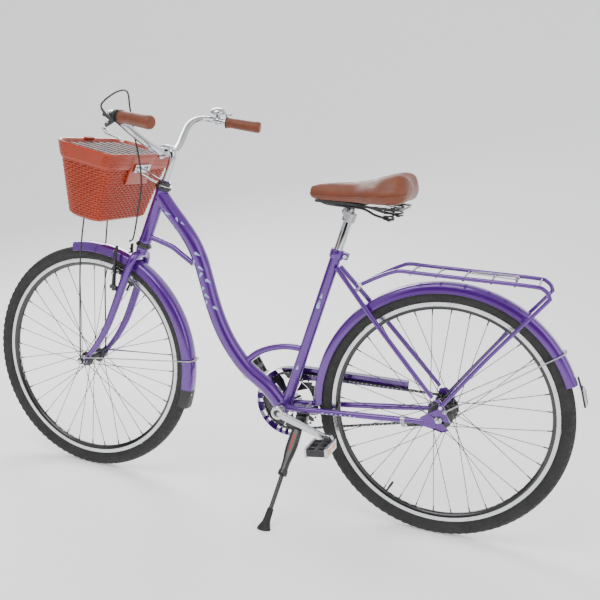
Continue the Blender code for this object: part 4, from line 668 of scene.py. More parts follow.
def sprig(path, radius, along, angle, size, count, heading, turn=0.55):
    """Pairs of leaves that get smaller along a stem, with a dot at its tip."""
    parts = [leaf(path, radius, along, angle, size * 1.1, size * 0.035, heading)]
    for i in range(count):
        t = (i + 0.4) / count
        a = along + size * t * math.cos(heading)
        b = angle + size * t * math.sin(heading) / radius
        for side in (1, -1):
            parts.append(leaf(path, radius, a, b, size * (0.46 - 0.24 * t), size * (0.13 - 0.06 * t),
                              heading + side * turn))
    parts.append(leaf(path, radius, along + size * 1.12 * math.cos(heading),
                      angle + size * 1.12 * math.sin(heading) / radius, size * 0.16, size * 0.08, heading))
    return parts


def make_decoration():
    parts = []
    for side in (0.0, math.pi):
        flip = 1 if side == 0 else -1
        for along, angle, size, heading in ((0.040, 0.95, 0.022, 0.5), (0.052, 0.55, 0.018, -0.7),
                                            (0.070, 0.85, 0.024, 0.2), (0.092, 0.60, 0.018, 0.8),
                                            (0.108, 0.90, 0.020, -0.3), (0.130, 0.70, 0.016, 0.2),
                                            (0.085, -0.45, 0.013, 0.3), (0.105, -0.55, 0.011, -0.3)):
            parts += sprig(DOWN_PATH, DOWN_RADIUS, along, side + flip * angle, size, 3, flip * heading)
        for i in range(9):
            parts += sprig(DOWN_PATH, DOWN_RADIUS, 0.200 + 0.021 * i, side + 0.35 * flip * math.sin(1.3 * i), 0.017,
                           3, flip * (0.9 if i % 2 else -0.7))
        for along, size in ((0.105, 0.014), (0.300, 0.022), (0.332, 0.014)):
            parts += sprig(SEAT_PATH, SEAT_RADIUS, along, side, size, 3, 0.0)
    stay = smooth([p[:3] for p in STAY_LOW], 8)
    for i in range(8):
        parts.append(leaf(stay, 0.0090, 0.120 + 0.014 * i, 0.35, 0.009, 0.0020, 0.25 if i % 2 else -0.25))
    obj = piece("leaf_decoration", parts, [M["pale_paint"]], "frame", weld=False)
    return obj


# ---- steering: fork, stem, bar, grips ----
def make_fork():
    rows = ((0.021, 0.0345, 0.0500, 0.0072), (0.045, 0.0225, 0.0502, 0.0088), (0.080, 0.0110, 0.0500, 0.0100),
            (0.125, 0.0025, 0.0495, 0.0112), (0.180, 0.0, 0.0485, 0.0120), (0.250, 0.0, 0.0460, 0.0128),
            (0.300, 0.0, 0.0435, 0.0126), (0.330, 0.0, 0.0400, 0.0122), (0.348, 0.0, 0.0280, 0.0122),
            (0.352, 0.0, 0.0, 0.0128))
    blade = np.array([(axis_x(z) + ahead, y, z, r) for z, ahead, y, r in rows])
    whole = np.vstack([blade, on_side(blade[-2::-1], -1)])
    tab = [(AXLE[0] + 0.0135 * math.cos(math.radians(d)), 0.0135 * math.sin(math.radians(d)))
           for d in range(195, 421, 15)]
    tab += [(axis_x(0.033) + 0.0345, 0.034), (axis_x(0.036) + 0.0225, 0.030)]
    parts = [sweep(whole, 0, 28, smooth_steps=8)]
    low, high = HEAD_LOW - HEAD * 0.036, HEAD_TOP + HEAD * 0.030
    parts.append(sweep([low, HEAD_LOW - HEAD * 0.0165, HEAD_LOW - HEAD * 0.0163, high],
                       [0.0175, 0.0196, 0.0127, 0.0127], 32))
    for side in (1, -1):
        parts += flat_piece(tab, [circle(AXLE[0], AXLE[2], 0.0052)], 0.005, side * 0.050)
    piece("painted_fork", parts, [M["paint"]], "steering", ["fork"])


BAR_MID = np.array((0.868, 0.0, 0.665))
BAR_RADIUS = 0.0111
BAR_SIDE = [(0.868, 0.045, 0.665), (0.876, 0.085, 0.681), (0.891, 0.135, 0.711), (0.902, 0.185, 0.742),
            (0.898, 0.232, 0.758), (0.872, 0.268, 0.760), (0.832, 0.289, 0.755), (0.780, 0.302, 0.751),
            (0.724, 0.315, 0.747)]
HALF_BAR = smooth([(0.868, 0.0, 0.665), (0.868, 0.024, 0.665), *BAR_SIDE], 10)


def on_bar(x, side):
    """The bar's centre behind its widest forward point, and its direction, at this x."""
    rows = HALF_BAR[HALF_BAR[:, 1] > 0.205][::-1]
    spot = np.array([np.interp(x, rows[:, 0], rows[:, i]) for i in range(3)]) * (1, side, 1)
    ahead = np.array([np.interp(x - 0.002, rows[:, 0], rows[:, i]) for i in range(3)]) * (1, side, 1)
    return spot, unit(ahead - spot)


def make_bar():
    bar = np.vstack([on_side(HALF_BAR[:0:-1], -1), HALF_BAR])
    piece("chrome_handlebar", [sweep(bar, BAR_RADIUS, 32)], [M["chrome"]], "steering", ["handlebar"])
    high = np.array((axis_x(0.652), 0, 0.652))
    quill = smooth([HEAD_TOP - HEAD * 0.020, HEAD_TOP + HEAD * 0.045, high - HEAD * 0.022,
                    high + (0.006, 0, 0.006), BAR_MID + (-0.012, 0, 0.0)], 8)
    parts = [sweep(quill, 0.0111, 32)]
    clamp = [(0.0113, 0.0200), (0.0168, 0.0200), (0.0178, 0.0188), (0.0178, -0.0188), (0.0168, -0.0200),
             (0.0113, -0.0200)]
    parts.append(lathe(clamp, BAR_MID, (0, 1, 0), 48, loop=True))
    tilt = about((0, 1, 0), math.radians(40))
    for side in (1, -1):
        parts.append(slab((0.021, 0.0075, 0.013), BAR_MID + (0.0155, 0.0050 * side, -0.014), tilt, 0.4))
    bolt = tilt @ (0.004, 0, 0)
    parts.append(nut(BAR_MID + (0.0155, 0.0088, -0.014) + bolt, (0, 1, 0), 0.0052, 0.0045))
    parts.append(rod(BAR_MID + (0.0155, -0.0135, -0.014) + bolt, BAR_MID + (0.0155, 0.013, -0.014) + bolt, 0.003))
    parts.append(domed(high + (0.0, 0, 0.0165), HEAD, 0.0058, 0.0045))
    lock = [(0.0128, 0.0170), (0.0195, 0.0170), (0.0202, 0.0185), (0.0202, 0.0255), (0.0190, 0.0275),
            (0.0128, 0.0275)]
    parts.append(lathe(lock, HEAD_TOP, HEAD, 8, 1, loop=True))
    piece("chrome_stem", parts, [M["chrome"], M["black"]], "steering", ["stem"])
    inner, outer = np.array((0.829, 0.2897, 0.7548)), np.array(BAR_SIDE[-1])
    length = np.linalg.norm(outer - inner)
    t = np.linspace(0, 1, 70)
    palm = np.interp(t, [0, 0.05, 0.16, 0.3, 0.55, 0.8, 0.93, 1.0],
                     [0.0172, 0.0172, 0.0158, 0.0163, 0.0168, 0.0172, 0.0183, 0.0176])
    ribs = 0.0007 * np.maximum(0, np.sin(t * TURN * 16)) * (t > 0.06) * (t < 0.22)
    rows = [(0.0120, 0.0), (0.0160, 0.0), *zip(palm - ribs, t * length + 0.0004), (0.0150, length + 0.0040),
            (0.0, length + 0.0052)]
    for tag, side in (("left", 1), ("right", -1)):
        start, way = inner * (1, side, 1), (outer - inner) * (1, side, 1)

        def wing(angle, row):
            return 1 + 0.10 * np.cos(angle - 0.5 * math.pi) * np.clip((row - 20) / 30, 0, 1)

        parts = [lathe(rows, start, way, 40, 0, wobble=wing),
                 lathe([(0.0121, -0.0004), (0.0186, -0.0002), (0.0186, 0.0034), (0.0121, 0.0036)], start, way, 40,
                       1, loop=True)]
        piece("ribbed_grip_" + tag, parts, [M["grip"], M["plastic"]], "steering", ["grip_" + tag])


# ---- lever, cable, brake arms, bell ----
PERCH, PERCH_WAY = on_bar(0.8430, 1)
LEVER_PIVOT = PERCH + (0.010, 0.030, -0.026)


def make_brake():
    ring = [(BAR_RADIUS + 0.0003, 0.0065), (BAR_RADIUS + 0.0055, 0.0065), (BAR_RADIUS + 0.0062, 0.005),
            (BAR_RADIUS + 0.0062, -0.005), (BAR_RADIUS + 0.0055, -0.0065), (BAR_RADIUS + 0.0003, -0.0065)]
    hood = smooth([PERCH + (0.004, 0.012, -0.011), PERCH + (0.010, 0.020, -0.018),
                   LEVER_PIVOT + (0.003, 0.001, 0.002)], 6)
    parts = [lathe(ring, PERCH, PERCH_WAY, 36, loop=True), sweep(hood, 0.0070, 20, 0.8),
             rod(PERCH + (0.006, 0.0165, -0.010), PERCH + (0.026, 0.0120, 0.0005), 0.0052, 20),
             lathe([(0.0, 0.0), (0.0046, 0.0), (0.0050, 0.002), (0.0050, 0.009), (0.0036, 0.011), (0.0, 0.011)],
                   PERCH + (0.026, 0.0120, 0.0005), (0.020, -0.002, 0.0035), 10)]
    parts.append(domed(LEVER_PIVOT + (0.0, 0.0, 0.0065), (0.1, 0, 1), 0.0045, 0.003, 1))
    piece("lever_hood", parts, [M["plastic"], M["steel"]], "steering", ["lever_bracket"])
    blade = smooth([LEVER_PIVOT + (0.004, 0.008, -0.008), LEVER_PIVOT + (-0.016, 0.026, -0.017),
                    LEVER_PIVOT + (-0.045, 0.044, -0.022), LEVER_PIVOT + (-0.080, 0.064, -0.027),
                    LEVER_PIVOT + (-0.101, 0.0788, -0.0333)], 10)
    wide = np.interp(np.linspace(0, 1, len(blade)), [0, 0.1, 0.7, 0.92, 1], [0.0060, 0.0052, 0.0048, 0.0058, 0.0040])
    piece("chrome_lever", [sweep(blade, wide, 24, 0.62)], [M["chrome"]], "front_brake_lever", ["brake_lever"],
          turned)
    cable = smooth([PERCH + (0.034, 0.0100, 0.0040), (0.896, 0.280, 0.785), (0.890, 0.225, 0.818),
                    (0.893, 0.170, 0.822), (0.920, 0.115, 0.780), (0.930, 0.080, 0.715), (0.922, 0.062, 0.640),
                    (0.923, 0.046, 0.560), (0.939, 0.040, 0.470), (0.955, 0.034, 0.405), (0.975, 0.018, 0.3905),
                    (0.996, -0.008, 0.3840), (1.002, -0.018, 0.3820)], 10)
    tip = frames_along(cable)[0][-1]
    parts = [sweep(cable, 0.0025, 14), rod(cable[0] - (0.004, 0, 0.0004), cable[6], 0.0031, 14),
             rod(cable[-1] - tip * 0.010, cable[-1] + tip * 0.001, 0.0031, 14, 1)]
    piece("brake_cable_housing", parts, [M["plastic"], M["steel"]], "steering", ["brake_cable"])
    for tag, side in (("left", 1), ("right", -1)):
        x = axis_x(0.246) + 0.0255
        arm = smooth(on_side([(x, 0.0475, 0.2370), (x + 0.001, 0.0475, 0.262), (x + 0.001, 0.0445, 0.300),
                              (x, 0.0440, 0.340), (x - 0.004, 0.0400, 0.3735)], side), 8)
        wide = np.interp(np.linspace(0, 1, len(arm)), [0, 0.15, 0.5, 0.85, 1], [0.0080, 0.0078, 0.0066, 0.0060, 0.0055])
        parts = [sweep(arm, wide, 24, 0.75)]
        pad = np.array((x + 0.004, 0, 0.2905))
        tilt = about((0, 1, 0), math.radians(-21))
        parts.append(slab((0.052, 0.0095, 0.0110), pad + (0, 0.0188 * side, 0), tilt, 0.45, material=1))
        parts.append(rod(pad + (0, 0.0235 * side, 0), pad + (0, 0.0265 * side, 0), 0.0072, 20, 2))
        parts.append(rod(pad + (0, 0.022 * side, 0), pad + (0, 0.0535 * side, 0), 0.0032, 14, 2))
        parts.append(nut(pad + (0, 0.0500 * side, 0), (0, side, 0), 0.0052, 0.004, 2))
        hub = np.array((x, 0.0475 * side, 0.246))
        parts.append(rod(hub - (0.010, 0, 0.003), hub + (0.0115, 0, 0.004), 0.0078, 24))
        parts.append(domed(hub + (0.0115, 0, 0.004), (1, 0, 0.3), 0.0050, 0.0028, 2))
        parts.append(domed(arm[-6] + (0.006, 0, 0.001), (1, 0, 0.2), 0.0042, 0.003, 2))
        piece("brake_arm_cover_" + tag, parts, [M["black"], M["rubber"], M["steel"]], tag + "_brake_arm",
              ["brake_arm_" + tag], turned)


def make_bell():
    at, way = on_bar(0.8540, -1)
    ring = [(BAR_RADIUS + 0.0003, 0.0055), (BAR_RADIUS + 0.0044, 0.0055), (BAR_RADIUS + 0.0050, 0.004),
            (BAR_RADIUS + 0.0050, -0.004), (BAR_RADIUS + 0.0044, -0.0055), (BAR_RADIUS + 0.0003, -0.0055)]
    foot = [(0, 0.0130), (0.0072, 0.0130), (0.0070, 0.0195), (0.0188, 0.0202), (0.0192, 0.0235), (0.0175, 0.0245),
            (0.0035, 0.0245), (0.0032, 0.0385), (0, 0.0385)]
    piece("bell_clamp", [lathe(ring, at, way, 36, loop=True), lathe(foot, at, (0, 0, 1), 36),
                         rod(at + (0.012, 0, 0.009), at + (0.019, 0.002, 0.009), 0.0026)], [M["chrome"]],
          "steering", ["bell_base"])
    outer = smooth([(0.0256, 0.0250), (0.0250, 0.0290), (0.0222, 0.0345), (0.0170, 0.0388), (0.0100, 0.0412),
                    (0.0036, 0.0420)], 6)
    rows = np.vstack([outer, (outer - (0.0011, 0.0011))[::-1]])
    nub = [(0, 0.0452), (0.0025, 0.0450), (0.0045, 0.0436), (0.0046, 0.0424), (0.0030, 0.0416), (0, 0.0414)]
    piece("chrome_bell_dome", [lathe(rows, at, (0, 0, 1), 56, loop=True), lathe(np.array(nub) - (0, 0.0027), at,
                                                                            (0, 0, 1), 28)],
          [M["chrome"]], "steering", ["bell_dome"])
    pin = at + (-0.020, -0.0205, 0.0195)
    tip = pin + (-0.004, -0.020, 0.001)
    ball = [(0.0060 * math.sin(a), 0.0060 * math.cos(a)) for a in np.linspace(0, math.pi, 13)]
    parts = [rod(pin + (0, 0, -0.0045), pin + (0, 0, 0.0042), 0.0042), sweep([pin, pin + (-0.002, -0.010, 0), tip],
                                                                            [0.0030, 0.0024, 0.0022], 16, 0.7),
             lathe(ball, tip + (0, 0, 0.0015), (0, 0, 1), 24)]
    piece("bell_thumb_lever", parts, [M["chrome"]], "bell_thumb", ["bell_lever"], turned)


# ---- basket and its lid ----
TILT = math.radians(-10)
BASKET_BACK = np.array((0.9450, 0, 0.650))
TALL, DEEP, HALF_WIDE = 0.210, 0.205, 0.172
TILTED = about((0, 1, 0), TILT)


def to_basket(points):
    return np.asarray(points, float) @ TILTED.T + BASKET_BACK


def outline(down, grow, count):
    """A rounded rectangle at a depth below the rim, its points spaced evenly round it."""
    t = down / TALL
    half = HALF_WIDE * (1 - t) + 0.130 * t + grow
    back, front = 0.036 * t - grow, DEEP * (1 - t) + 0.165 * t + grow
    ring = []
    for x, y, bend, first in ((front - 0.060, half - 0.060, 0.060, 0), (back + 0.028, half - 0.028, 0.028, 90),
                              (back + 0.028, 0.028 - half, 0.028, 180), (front - 0.060, 0.060 - half, 0.060, 270)):
        a = np.radians(first + np.linspace(0, 90, 24))
        ring.append(np.column_stack([x + bend * np.cos(a), y + bend * np.sin(a)]))
    ring = np.vstack([*ring, ring[0][:1]])
    length = np.concatenate([[0], np.cumsum(np.linalg.norm(np.diff(ring, axis=0), axis=1))])
    at = np.arange(count) / count * length[-1]
    flat = np.column_stack([np.interp(at, length, ring[:, i]) for i in (0, 1)])
    ahead = unit(np.roll(flat, -1, 0) - np.roll(flat, 1, 0))
    return flat, np.column_stack([ahead[:, 1], -ahead[:, 0]])


def ring_rows(rows, count):
    """Rings at (depth, grow), stacked; each is the outline there."""
    made = [np.column_stack([outline(d, g, count)[0], np.full(count, -d)]) for d, g in rows]
    return to_basket(np.array(made))


def woven_wall(top, low, stakes=80, strands=23, fine=6, rows_each=5):
    """Strands over and under stakes: a strand's height is its round back plus a cosine that flips at each stake."""
    count, rows = stakes * fine, strands * rows_each
    across = np.arange(count) / fine
    made = []
    for k in range(rows + 1):
        down = top + (low - top) * k / rows
        strand, share = divmod(k / rows_each, 1.0)
        back = math.sqrt(max(0.0, 1 - (2 * share - 1) ** 2))
        wave = np.cos(math.pi * across + math.pi * strand)
        near = np.abs(across - np.round(across)) / 0.36
        stake = 0.0020 * np.sqrt(np.clip(1 - near ** 2, 0, 1)) - 0.0006
        lift = np.maximum(0.0034 * back + 0.0020 * wave, stake) - 0.0036
        flat, out = outline(down, 0.0, count)
        made.append(np.column_stack([flat + out * lift[:, None], np.full(count, -down)]))
    return to_basket(np.array(made))


def make_basket():
    wall = woven_wall(0.040, TALL - 0.004)
    count = wall.shape[1]
    under = ring_rows([(TALL, -0.004), (TALL - 0.005, -0.009)], count)
    centre = under.mean(1, keepdims=True)
    shares = np.array((1.0, 0.6, 0.0))[:, None, None]
    floor_out = centre[:1] + (under[:1] - centre[:1]) * shares
    floor_in = centre[1:] + (under[1:] - centre[1:]) * shares[::-1]
    inner = ring_rows([(TALL * 0.7, -0.0062), (TALL * 0.4, -0.0062), (0.030, -0.0060), (0.030, -0.0020)], count)
    skin = np.concatenate([wall, floor_out, floor_in, inner])
    piece("woven_basket", [sheet_of(skin, True, True)], [M["wicker"]], "steering", ["basket_body"],
          weld=False)
    rim_rows = [(0.046, -0.0045), (0.0485, 0.0005), (0.0475, 0.0026), (0.040, 0.0030), (0.008, 0.0028),
                (0.003, 0.0034), (-0.0002, 0.0018), (0.0002, -0.0020), (0.004, -0.0042), (0.012, -0.0040),
                (0.034, -0.0042), (0.040, -0.0066)]
    band = ring_rows(rim_rows, 220)
    parts = [sheet_of(band, True, True)]
    for down in np.arange(0.0080, 0.0440, 0.0045):
        bead_rows = [(down + 0.0020 * math.sin(a), 0.0028 + 0.0014 * math.cos(a)) for a in np.arange(0, TURN, 0.9)]
        parts.append(sheet_of(ring_rows(bead_rows, 220), True, True))
    steep = about((0, 1, 0), TILT - math.radians(9.7))
    mid = to_basket(np.array([(0.0065, 0, -0.050)]))[0]
    parts.append(slab((0.0065, 0.112, 0.088), mid, steep, 0.9, power=7.0))
    lug = to_basket(np.array([(DEEP - 0.004, 0, 0.0)]))[0]
    parts.append(slab((0.016, 0.040, 0.010), lug, TILTED, 0.6))
    piece("basket_band", parts, [M["moulded"]], "steering")
    slats = []
    for i in range(9):
        across = -0.136 + 0.034 * i
        end = DEEP - 0.018 - (0.016 if abs(across) > 0.12 else 0.0)
        size = (0.0225, 0.0070, end - 0.010)
        lie = np.column_stack([(0, 1, 0), (0, 0, 1), (1, 0, 0)])
        slats.append(slab(size, ((end + 0.010) / 2, across, -0.011), lie, 0.8, power=3.2))
    for x in (0.030, 0.150):
        lie = np.column_stack([(1, 0, 0), (0, 0, 1), (0, -1, 0)])
        slats.append(slab((0.014, 0.005, 0.290), (x, 0, -0.0160), lie, 0.6))
        for i in range(9):
            slats.append(domed((x, -0.136 + 0.034 * i, -0.0076), (0, 0, 1), 0.0026, 0.0009, 1))
    slats = [moved(part, to_basket) for part in slats]
    piece("slatted_lid", slats, [M["slats"], M["plastic"]], "basket_cover", ["basket_lid"], turned)
    make_basket_bracket(steep)


def make_basket_bracket(steep):
    collar = HEAD_TOP + HEAD * 0.0150
    rows = [(0.0130, 0.0012), (0.0216, 0.0012), (0.0216, -0.0012), (0.0130, -0.0012)]
    face = to_basket(np.array([(0.0080, 0, -0.0450)]))[0]
    mid = face - (0.0100, 0, 0)
    parts = [lathe(rows, collar, HEAD, 40, loop=True), slab((0.0026, 0.078, 0.025), mid, steep, 0.9, power=9.0)]
    for side in (1, -1):
        a = collar + (0.014, 0.0165 * side, 0.0062)
        b = mid + steep @ (0.0, 0.026 * side, -0.007)
        parts.append(sweep(smooth([a, a * 0.6 + b * 0.4 + (0, 0.002 * side, -0.001), b], 6), 0.0031, 18))
        parts.append(nut(mid + steep @ (-0.0013, 0.026 * side, 0.003), steep @ (-1, 0, 0), 0.0055, 0.0035))
        parts.append(lathe([(0, -0.001), (0.0034, -0.001), (0.0034, 0.0006), (0, 0.0006)],
                           mid + steep @ (-0.0013, 0.011 * side, 0.004), steep @ (-1, 0, 0), 20, 1))
    piece("basket_arms", parts, [M["chrome"], M["black"]], "steering", ["basket_bracket"])
    under = to_basket(np.array([(0.1350, 0, -TALL - 0.0065)]))[0]
    half = smooth([(AXLE[0] - 0.0003, 0.0650, 0.0120), (AXLE[0] - 0.0003, 0.0662, 0.0240),
                   (under[0] + 0.010, 0.0640, 0.300), (under[0], 0.0600, under[2] - 0.014),
                   (under[0], 0.0520, under[2] - 0.0006), (under[0], 0.0200, under[2]), (under[0], 0, under[2])], 8)
    parts = [sweep(np.vstack([half, on_side(half[-2::-1], -1)]), 0.0024, 14)]
    for side in (1, -1):
        parts.append(lathe([(0.0054, 0.0013), (0.0110, 0.0013), (0.0110, -0.0013), (0.0054, -0.0013)],
                           (AXLE[0], 0.0644 * side, AXLE[2]), (0, 1, 0), 30, loop=True))
        parts.append(nut((AXLE[0], 0.0660 * side, AXLE[2]), (0, side, 0), 0.0080, 0.0042, 1))
    piece("basket_stay_wires", parts, [M["black"], M["chrome"]], "steering", ["basket_stays"])


# ---- fenders, reflector, rack ----
FENDER_RADIUS = 0.372
FENDER_HALF = 0.0265


def fender(hub, first, last, flare=0.0, material=0):
    """A mudguard: its rounded section, with rolled edges, is turned about the hub between two angles."""
    outer = smooth([(FENDER_RADIUS - 0.0268, FENDER_HALF), (FENDER_RADIUS - 0.016, FENDER_HALF - 0.0012),
                    (FENDER_RADIUS - 0.0060, 0.0212), (FENDER_RADIUS - 0.0010, 0.0120), (FENDER_RADIUS, 0.0)], 5)
    outer = np.vstack([outer, (outer * (1, -1))[-2::-1]])
    roll = [(FENDER_RADIUS - 0.0278 + 0.0014 * math.cos(a), -FENDER_HALF + 0.0014 * math.sin(a))
            for a in np.linspace(-math.pi * 0.5, -math.pi * 1.5, 6)]
    inner = (outer - (0.0011, 0))[::-1] * (1, 0.956)
    loop = np.vstack([outer, roll, inner, np.array(roll)[::-1] * (1, -1)])
    a = np.radians(np.linspace(first, last, max(int((last - first) * 1.2), 6)))
    grow = 1 + flare * np.linspace(0, 1, len(a)) ** 2
    skin = np.stack([hub[0] + loop[None, :, 0] * np.cos(a)[:, None],
                     loop[None, :, 1] * grow[:, None],
                     hub[2] + loop[None, :, 0] * np.sin(a)[:, None]], -1)
    mid = skin.mean(1, keepdims=True)
    skin = np.concatenate([mid[:1] + (skin[:1] - mid[:1]) * 0.999, skin])
    return [sheet_of(skin, False, True, material), cap_of(skin[0], material), cap_of(skin[-1], material)]


def cap_of(ring, material=0):
    """Closes a thin C-shaped ring with a strip between its outer half and its inner half."""
    half = len(ring) // 2
    strip = np.stack([ring[:half], ring[::-1][:half]])
    return sheet_of(strip, False, False, material)


def at_wheel(hub, angle, radius, y=0.0):
    a = math.radians(angle)
    return np.array((hub[0] + radius * math.cos(a), y, hub[2] + radius * math.sin(a)))


def fender_wire(hub, angle, foot):
    """A round wire from both dropouts over the fender, an eyelet with a bolt at each foot and a wing nut on top."""
    ride = FENDER_RADIUS + 0.0034
    foot = np.array(foot)
    top = at_wheel(hub, angle, ride)
    down = unit(foot * (1, 0, 1) - top)
    half = smooth([foot, top + down * 0.060 + (0, 0.0330, 0), top + down * 0.014 + (0, 0.0305, 0),
                   top + (0, 0.0200, 0), top], 8)
    parts = [sweep(np.vstack([half, on_side(half[-2::-1], -1)]), 0.0019, 14)]
    for side in (1, -1):
        end = foot * (1, side, 1)
        parts.append(lathe([(0.0028, 0.0016), (0.0060, 0.0016), (0.0060, -0.0016), (0.0028, -0.0016)], end,
                           (0, 1, 0), 20, loop=True))
        parts.append(rod(end - (0, 0.004 * side, 0), end + (0, 0.0030 * side, 0), 0.0027, 12))
        parts.append(domed(end + (0, 0.0016 * side, 0), (0, side, 0), 0.0048, 0.0032))
    out = at_wheel(np.zeros(3), angle, 1.0)
    parts.append(slab((0.010, 0.016, 0.0022), top + out * 0.0012, about((0, 1, 0), math.radians(90 - angle)), 0.6))
    parts.append(domed(top + out * 0.0022, out, 0.0038, 0.0028))
    return parts


def make_fenders():
    zero = np.zeros(3)
    piece("rolled_rear_fender", fender(zero, -4.0, 158.0), [M["paint"]], "frame", ["rear_fender"])
    piece("rolled_front_fender", fender(AXLE, 80.0, 187.5), [M["paint"]], "steering", ["front_fender"])
    bolts = [domed(at_wheel(AXLE, 189.4, FENDER_RADIUS + 0.0002, y), at_wheel(zero, 189.4, 1.0), 0.0030, 0.0018, 1)
             for y in (-0.008, 0.008)]
    piece("flared_mud_flap", fender(AXLE, 187.2, 196.5, 0.10) + bolts, [M["plastic"], M["steel"]], "steering",
          ["mud_flap"])
    piece("rear_fender_wire", fender_wire(zero, 144.0, (-0.016, 0.0640, 0.026)), [M["steel"]], "frame",
          ["rear_fender_stay"])
    piece("front_fender_wire", fender_wire(AXLE, 172.5, (AXLE[0] - 0.012, 0.0620, 0.0125)), [M["steel"]],
          "steering", ["front_fender_stay"])
    tilt = about((0, 1, 0), math.radians(-163.5))
    at = at_wheel(zero, 163.5, 0.3800)
    out = at_wheel(zero, 163.5, 1.0)
    face = tilt @ np.array([(0, 0, 1), (0, 1, 0), (-1, 0, 0)]).T
    parts = [slab((0.050, 0.044, 0.0085), at + out * 0.0010, face, 0.9, power=6.0),
             slab((0.053, 0.047, 0.0050), at - out * 0.0020, face, 0.6, material=1, power=6.0),
             slab((0.046, 0.016, 0.0045), at_wheel(zero, 158.6, 0.3768),
                  about((0, 1, 0), math.radians(-158.6)) @ np.array([(0, 0, 1), (0, 1, 0), (-1, 0, 0)]).T, 0.5,
                  material=1)]
    piece("faceted_rear_reflector", parts, [M["clear"], M["plastic"]], "frame", ["rear_reflector"])


RACK_Z, RACK_HALF = 0.397, 0.062
RODS = (0.108, 0.040, -0.031, -0.103, -0.163, -0.222)


def make_rack():
    w = RACK_HALF
    path = [(0.2640, 0.0120, 0.3330), (0.2440, 0.0160, 0.3440), (0.200, 0.0390, 0.3700), (0.160, 0.0560, 0.3900),
            (0.136, w, RACK_Z), (0.090, w, RACK_Z), (-0.060, w, RACK_Z - 0.001), (-0.205, w, RACK_Z - 0.002),
            (-0.236, w, RACK_Z - 0.008), (-0.250, w + 0.0005, RACK_Z - 0.026), (-0.240, w + 0.001, RACK_Z - 0.046),
            (-0.120, w + 0.003, 0.200), (-0.004, w + 0.0065, 0.0400)]
    parts = [sweep(on_side(path, side), 0.0055, 20, smooth_steps=7) for side in (1, -1)]
    for x in RODS:
        parts.append(rod((x, -w, RACK_Z - 0.002), (x, w, RACK_Z - 0.002), 0.0031, 14))
        for side in (1, -1):
            parts.append(domed((x, side * (w - 0.001), RACK_Z - 0.0068), (0, 0, -1), 0.0030, 0.0022, 1))
    parts.append(rod((0.2540, -0.0160, 0.3385), (0.2540, 0.0160, 0.3385), 0.0050, 16))
    for side in (1, -1):
        foot = np.array((-0.004, side * (w + 0.0065), 0.0400))
        parts.append(slab((0.012, 0.0045, 0.020), foot, None, 0.5))
        parts.append(nut(foot + (0, side * 0.0025, -0.001), (0, side, 0), 0.0055, 0.0040, 2))
    parts.append(nut((0.2540, 0.0150, 0.3385), (0, 1, 0), 0.0060, 0.0050, 2))
    piece("painted_rear_rack", parts, [M["paint"], M["plastic"], M["chrome"]], "frame", ["rear_rack"])
    p = np.array((RODS[4], 0, RACK_Z + 0.0040))
    half = smooth([p, p + (0, 0.018, 0), p + (0.004, 0.024, 0), p + (0.060, 0.019, 0.002),
                   p + (0.112, 0.012, 0.002), p + (0.118, 0.0, 0.002)], 8)
    wire = np.vstack([half, on_side(half[-2:0:-1], -1)])
    parts = [sweep(wire, 0.0019, 12, loop=True)]
    coil = [p + (0.0042 * math.cos(a), -0.012 + 0.024 * a / (14 * math.pi), 0.0042 * math.sin(a))
            for a in np.linspace(0, 14 * math.pi, 110)]
    parts.append(sweep(coil, 0.0009, 8))
    piece("spring_clip", parts, [M["steel"]], "luggage_clip", ["rack_clip"])


# ---- drive ----
CHAIN_Y = -0.046
PITCH = 0.0127
RING_TEETH, COG_TEETH = 44, 18
CRANK_ANGLE = math.radians(198.6)


def chain_route():
    """Two arcs round the gears joined by their common tangents, as points one half link apart."""
    big, small = (PITCH / (2 * math.sin(math.pi / n)) for n in (RING_TEETH, COG_TEETH))
    heading, span = math.atan2(BB[2], BB[0]), math.hypot(BB[0], BB[2])
    open_angle = math.acos((small - big) / span)
    a = heading + open_angle - 2 * open_angle * np.linspace(0, 1, 60)
    b = heading - open_angle - (TURN - 2 * open_angle) * np.linspace(0, 1, 40)
    loop = np.vstack([np.column_stack([BB[0] + big * np.cos(a), BB[2] + big * np.sin(a)]),
                      np.column_stack([small * np.cos(b), small * np.sin(b)])])
    loop = np.vstack([loop, loop[:1]])
    length = np.concatenate([[0], np.cumsum(np.linalg.norm(np.diff(loop, axis=0), axis=1))])
    count = 2 * round(length[-1] / PITCH / 2)
    at = np.arange(count) / count * length[-1]
    return np.column_stack([np.interp(at, length, loop[:, i]) for i in (0, 1)]), big, small


def make_chain():
    spots, _, _ = chain_route()
    parts = []
    for i, (x, z) in enumerate(spots):
        nx, nz = spots[(i + 1) % len(spots)]
        mid, lie = np.array(((x + nx) / 2, CHAIN_Y, (z + nz) / 2)), math.atan2(nz - z, nx - x)
        turn = about((0, 1, 0), -lie)
        outside = 0.0040 if i % 2 else 0.0028
        t = np.linspace(0, TURN, 17)[:-1]
        waist = 0.0040 - 0.0013 * np.abs(np.sin(t)) ** 3
        ring = np.column_stack([np.cos(t) * (PITCH / 2 + 0.0040), np.sin(t) * waist])
        for side in (1, -1):
            low, high = side * outside - 0.0005, side * outside + 0.0005
            skin = np.array([np.column_stack([ring[:, 0] * s, np.full(16, y), ring[:, 1] * s])
                             for s, y in ((0.0, low), (1, low), (1, high), (0.0, high))])
            parts.append(sheet_of(skin @ turn.T + mid, False, True))
        parts.append(rod((x, CHAIN_Y - 0.0050, z), (x, CHAIN_Y + 0.0050, z), 0.0018, 8, 1, 0.2))
    piece("linked_chain", parts, [M["black"], M["steel"]], "frame", ["chain"], weld=False)


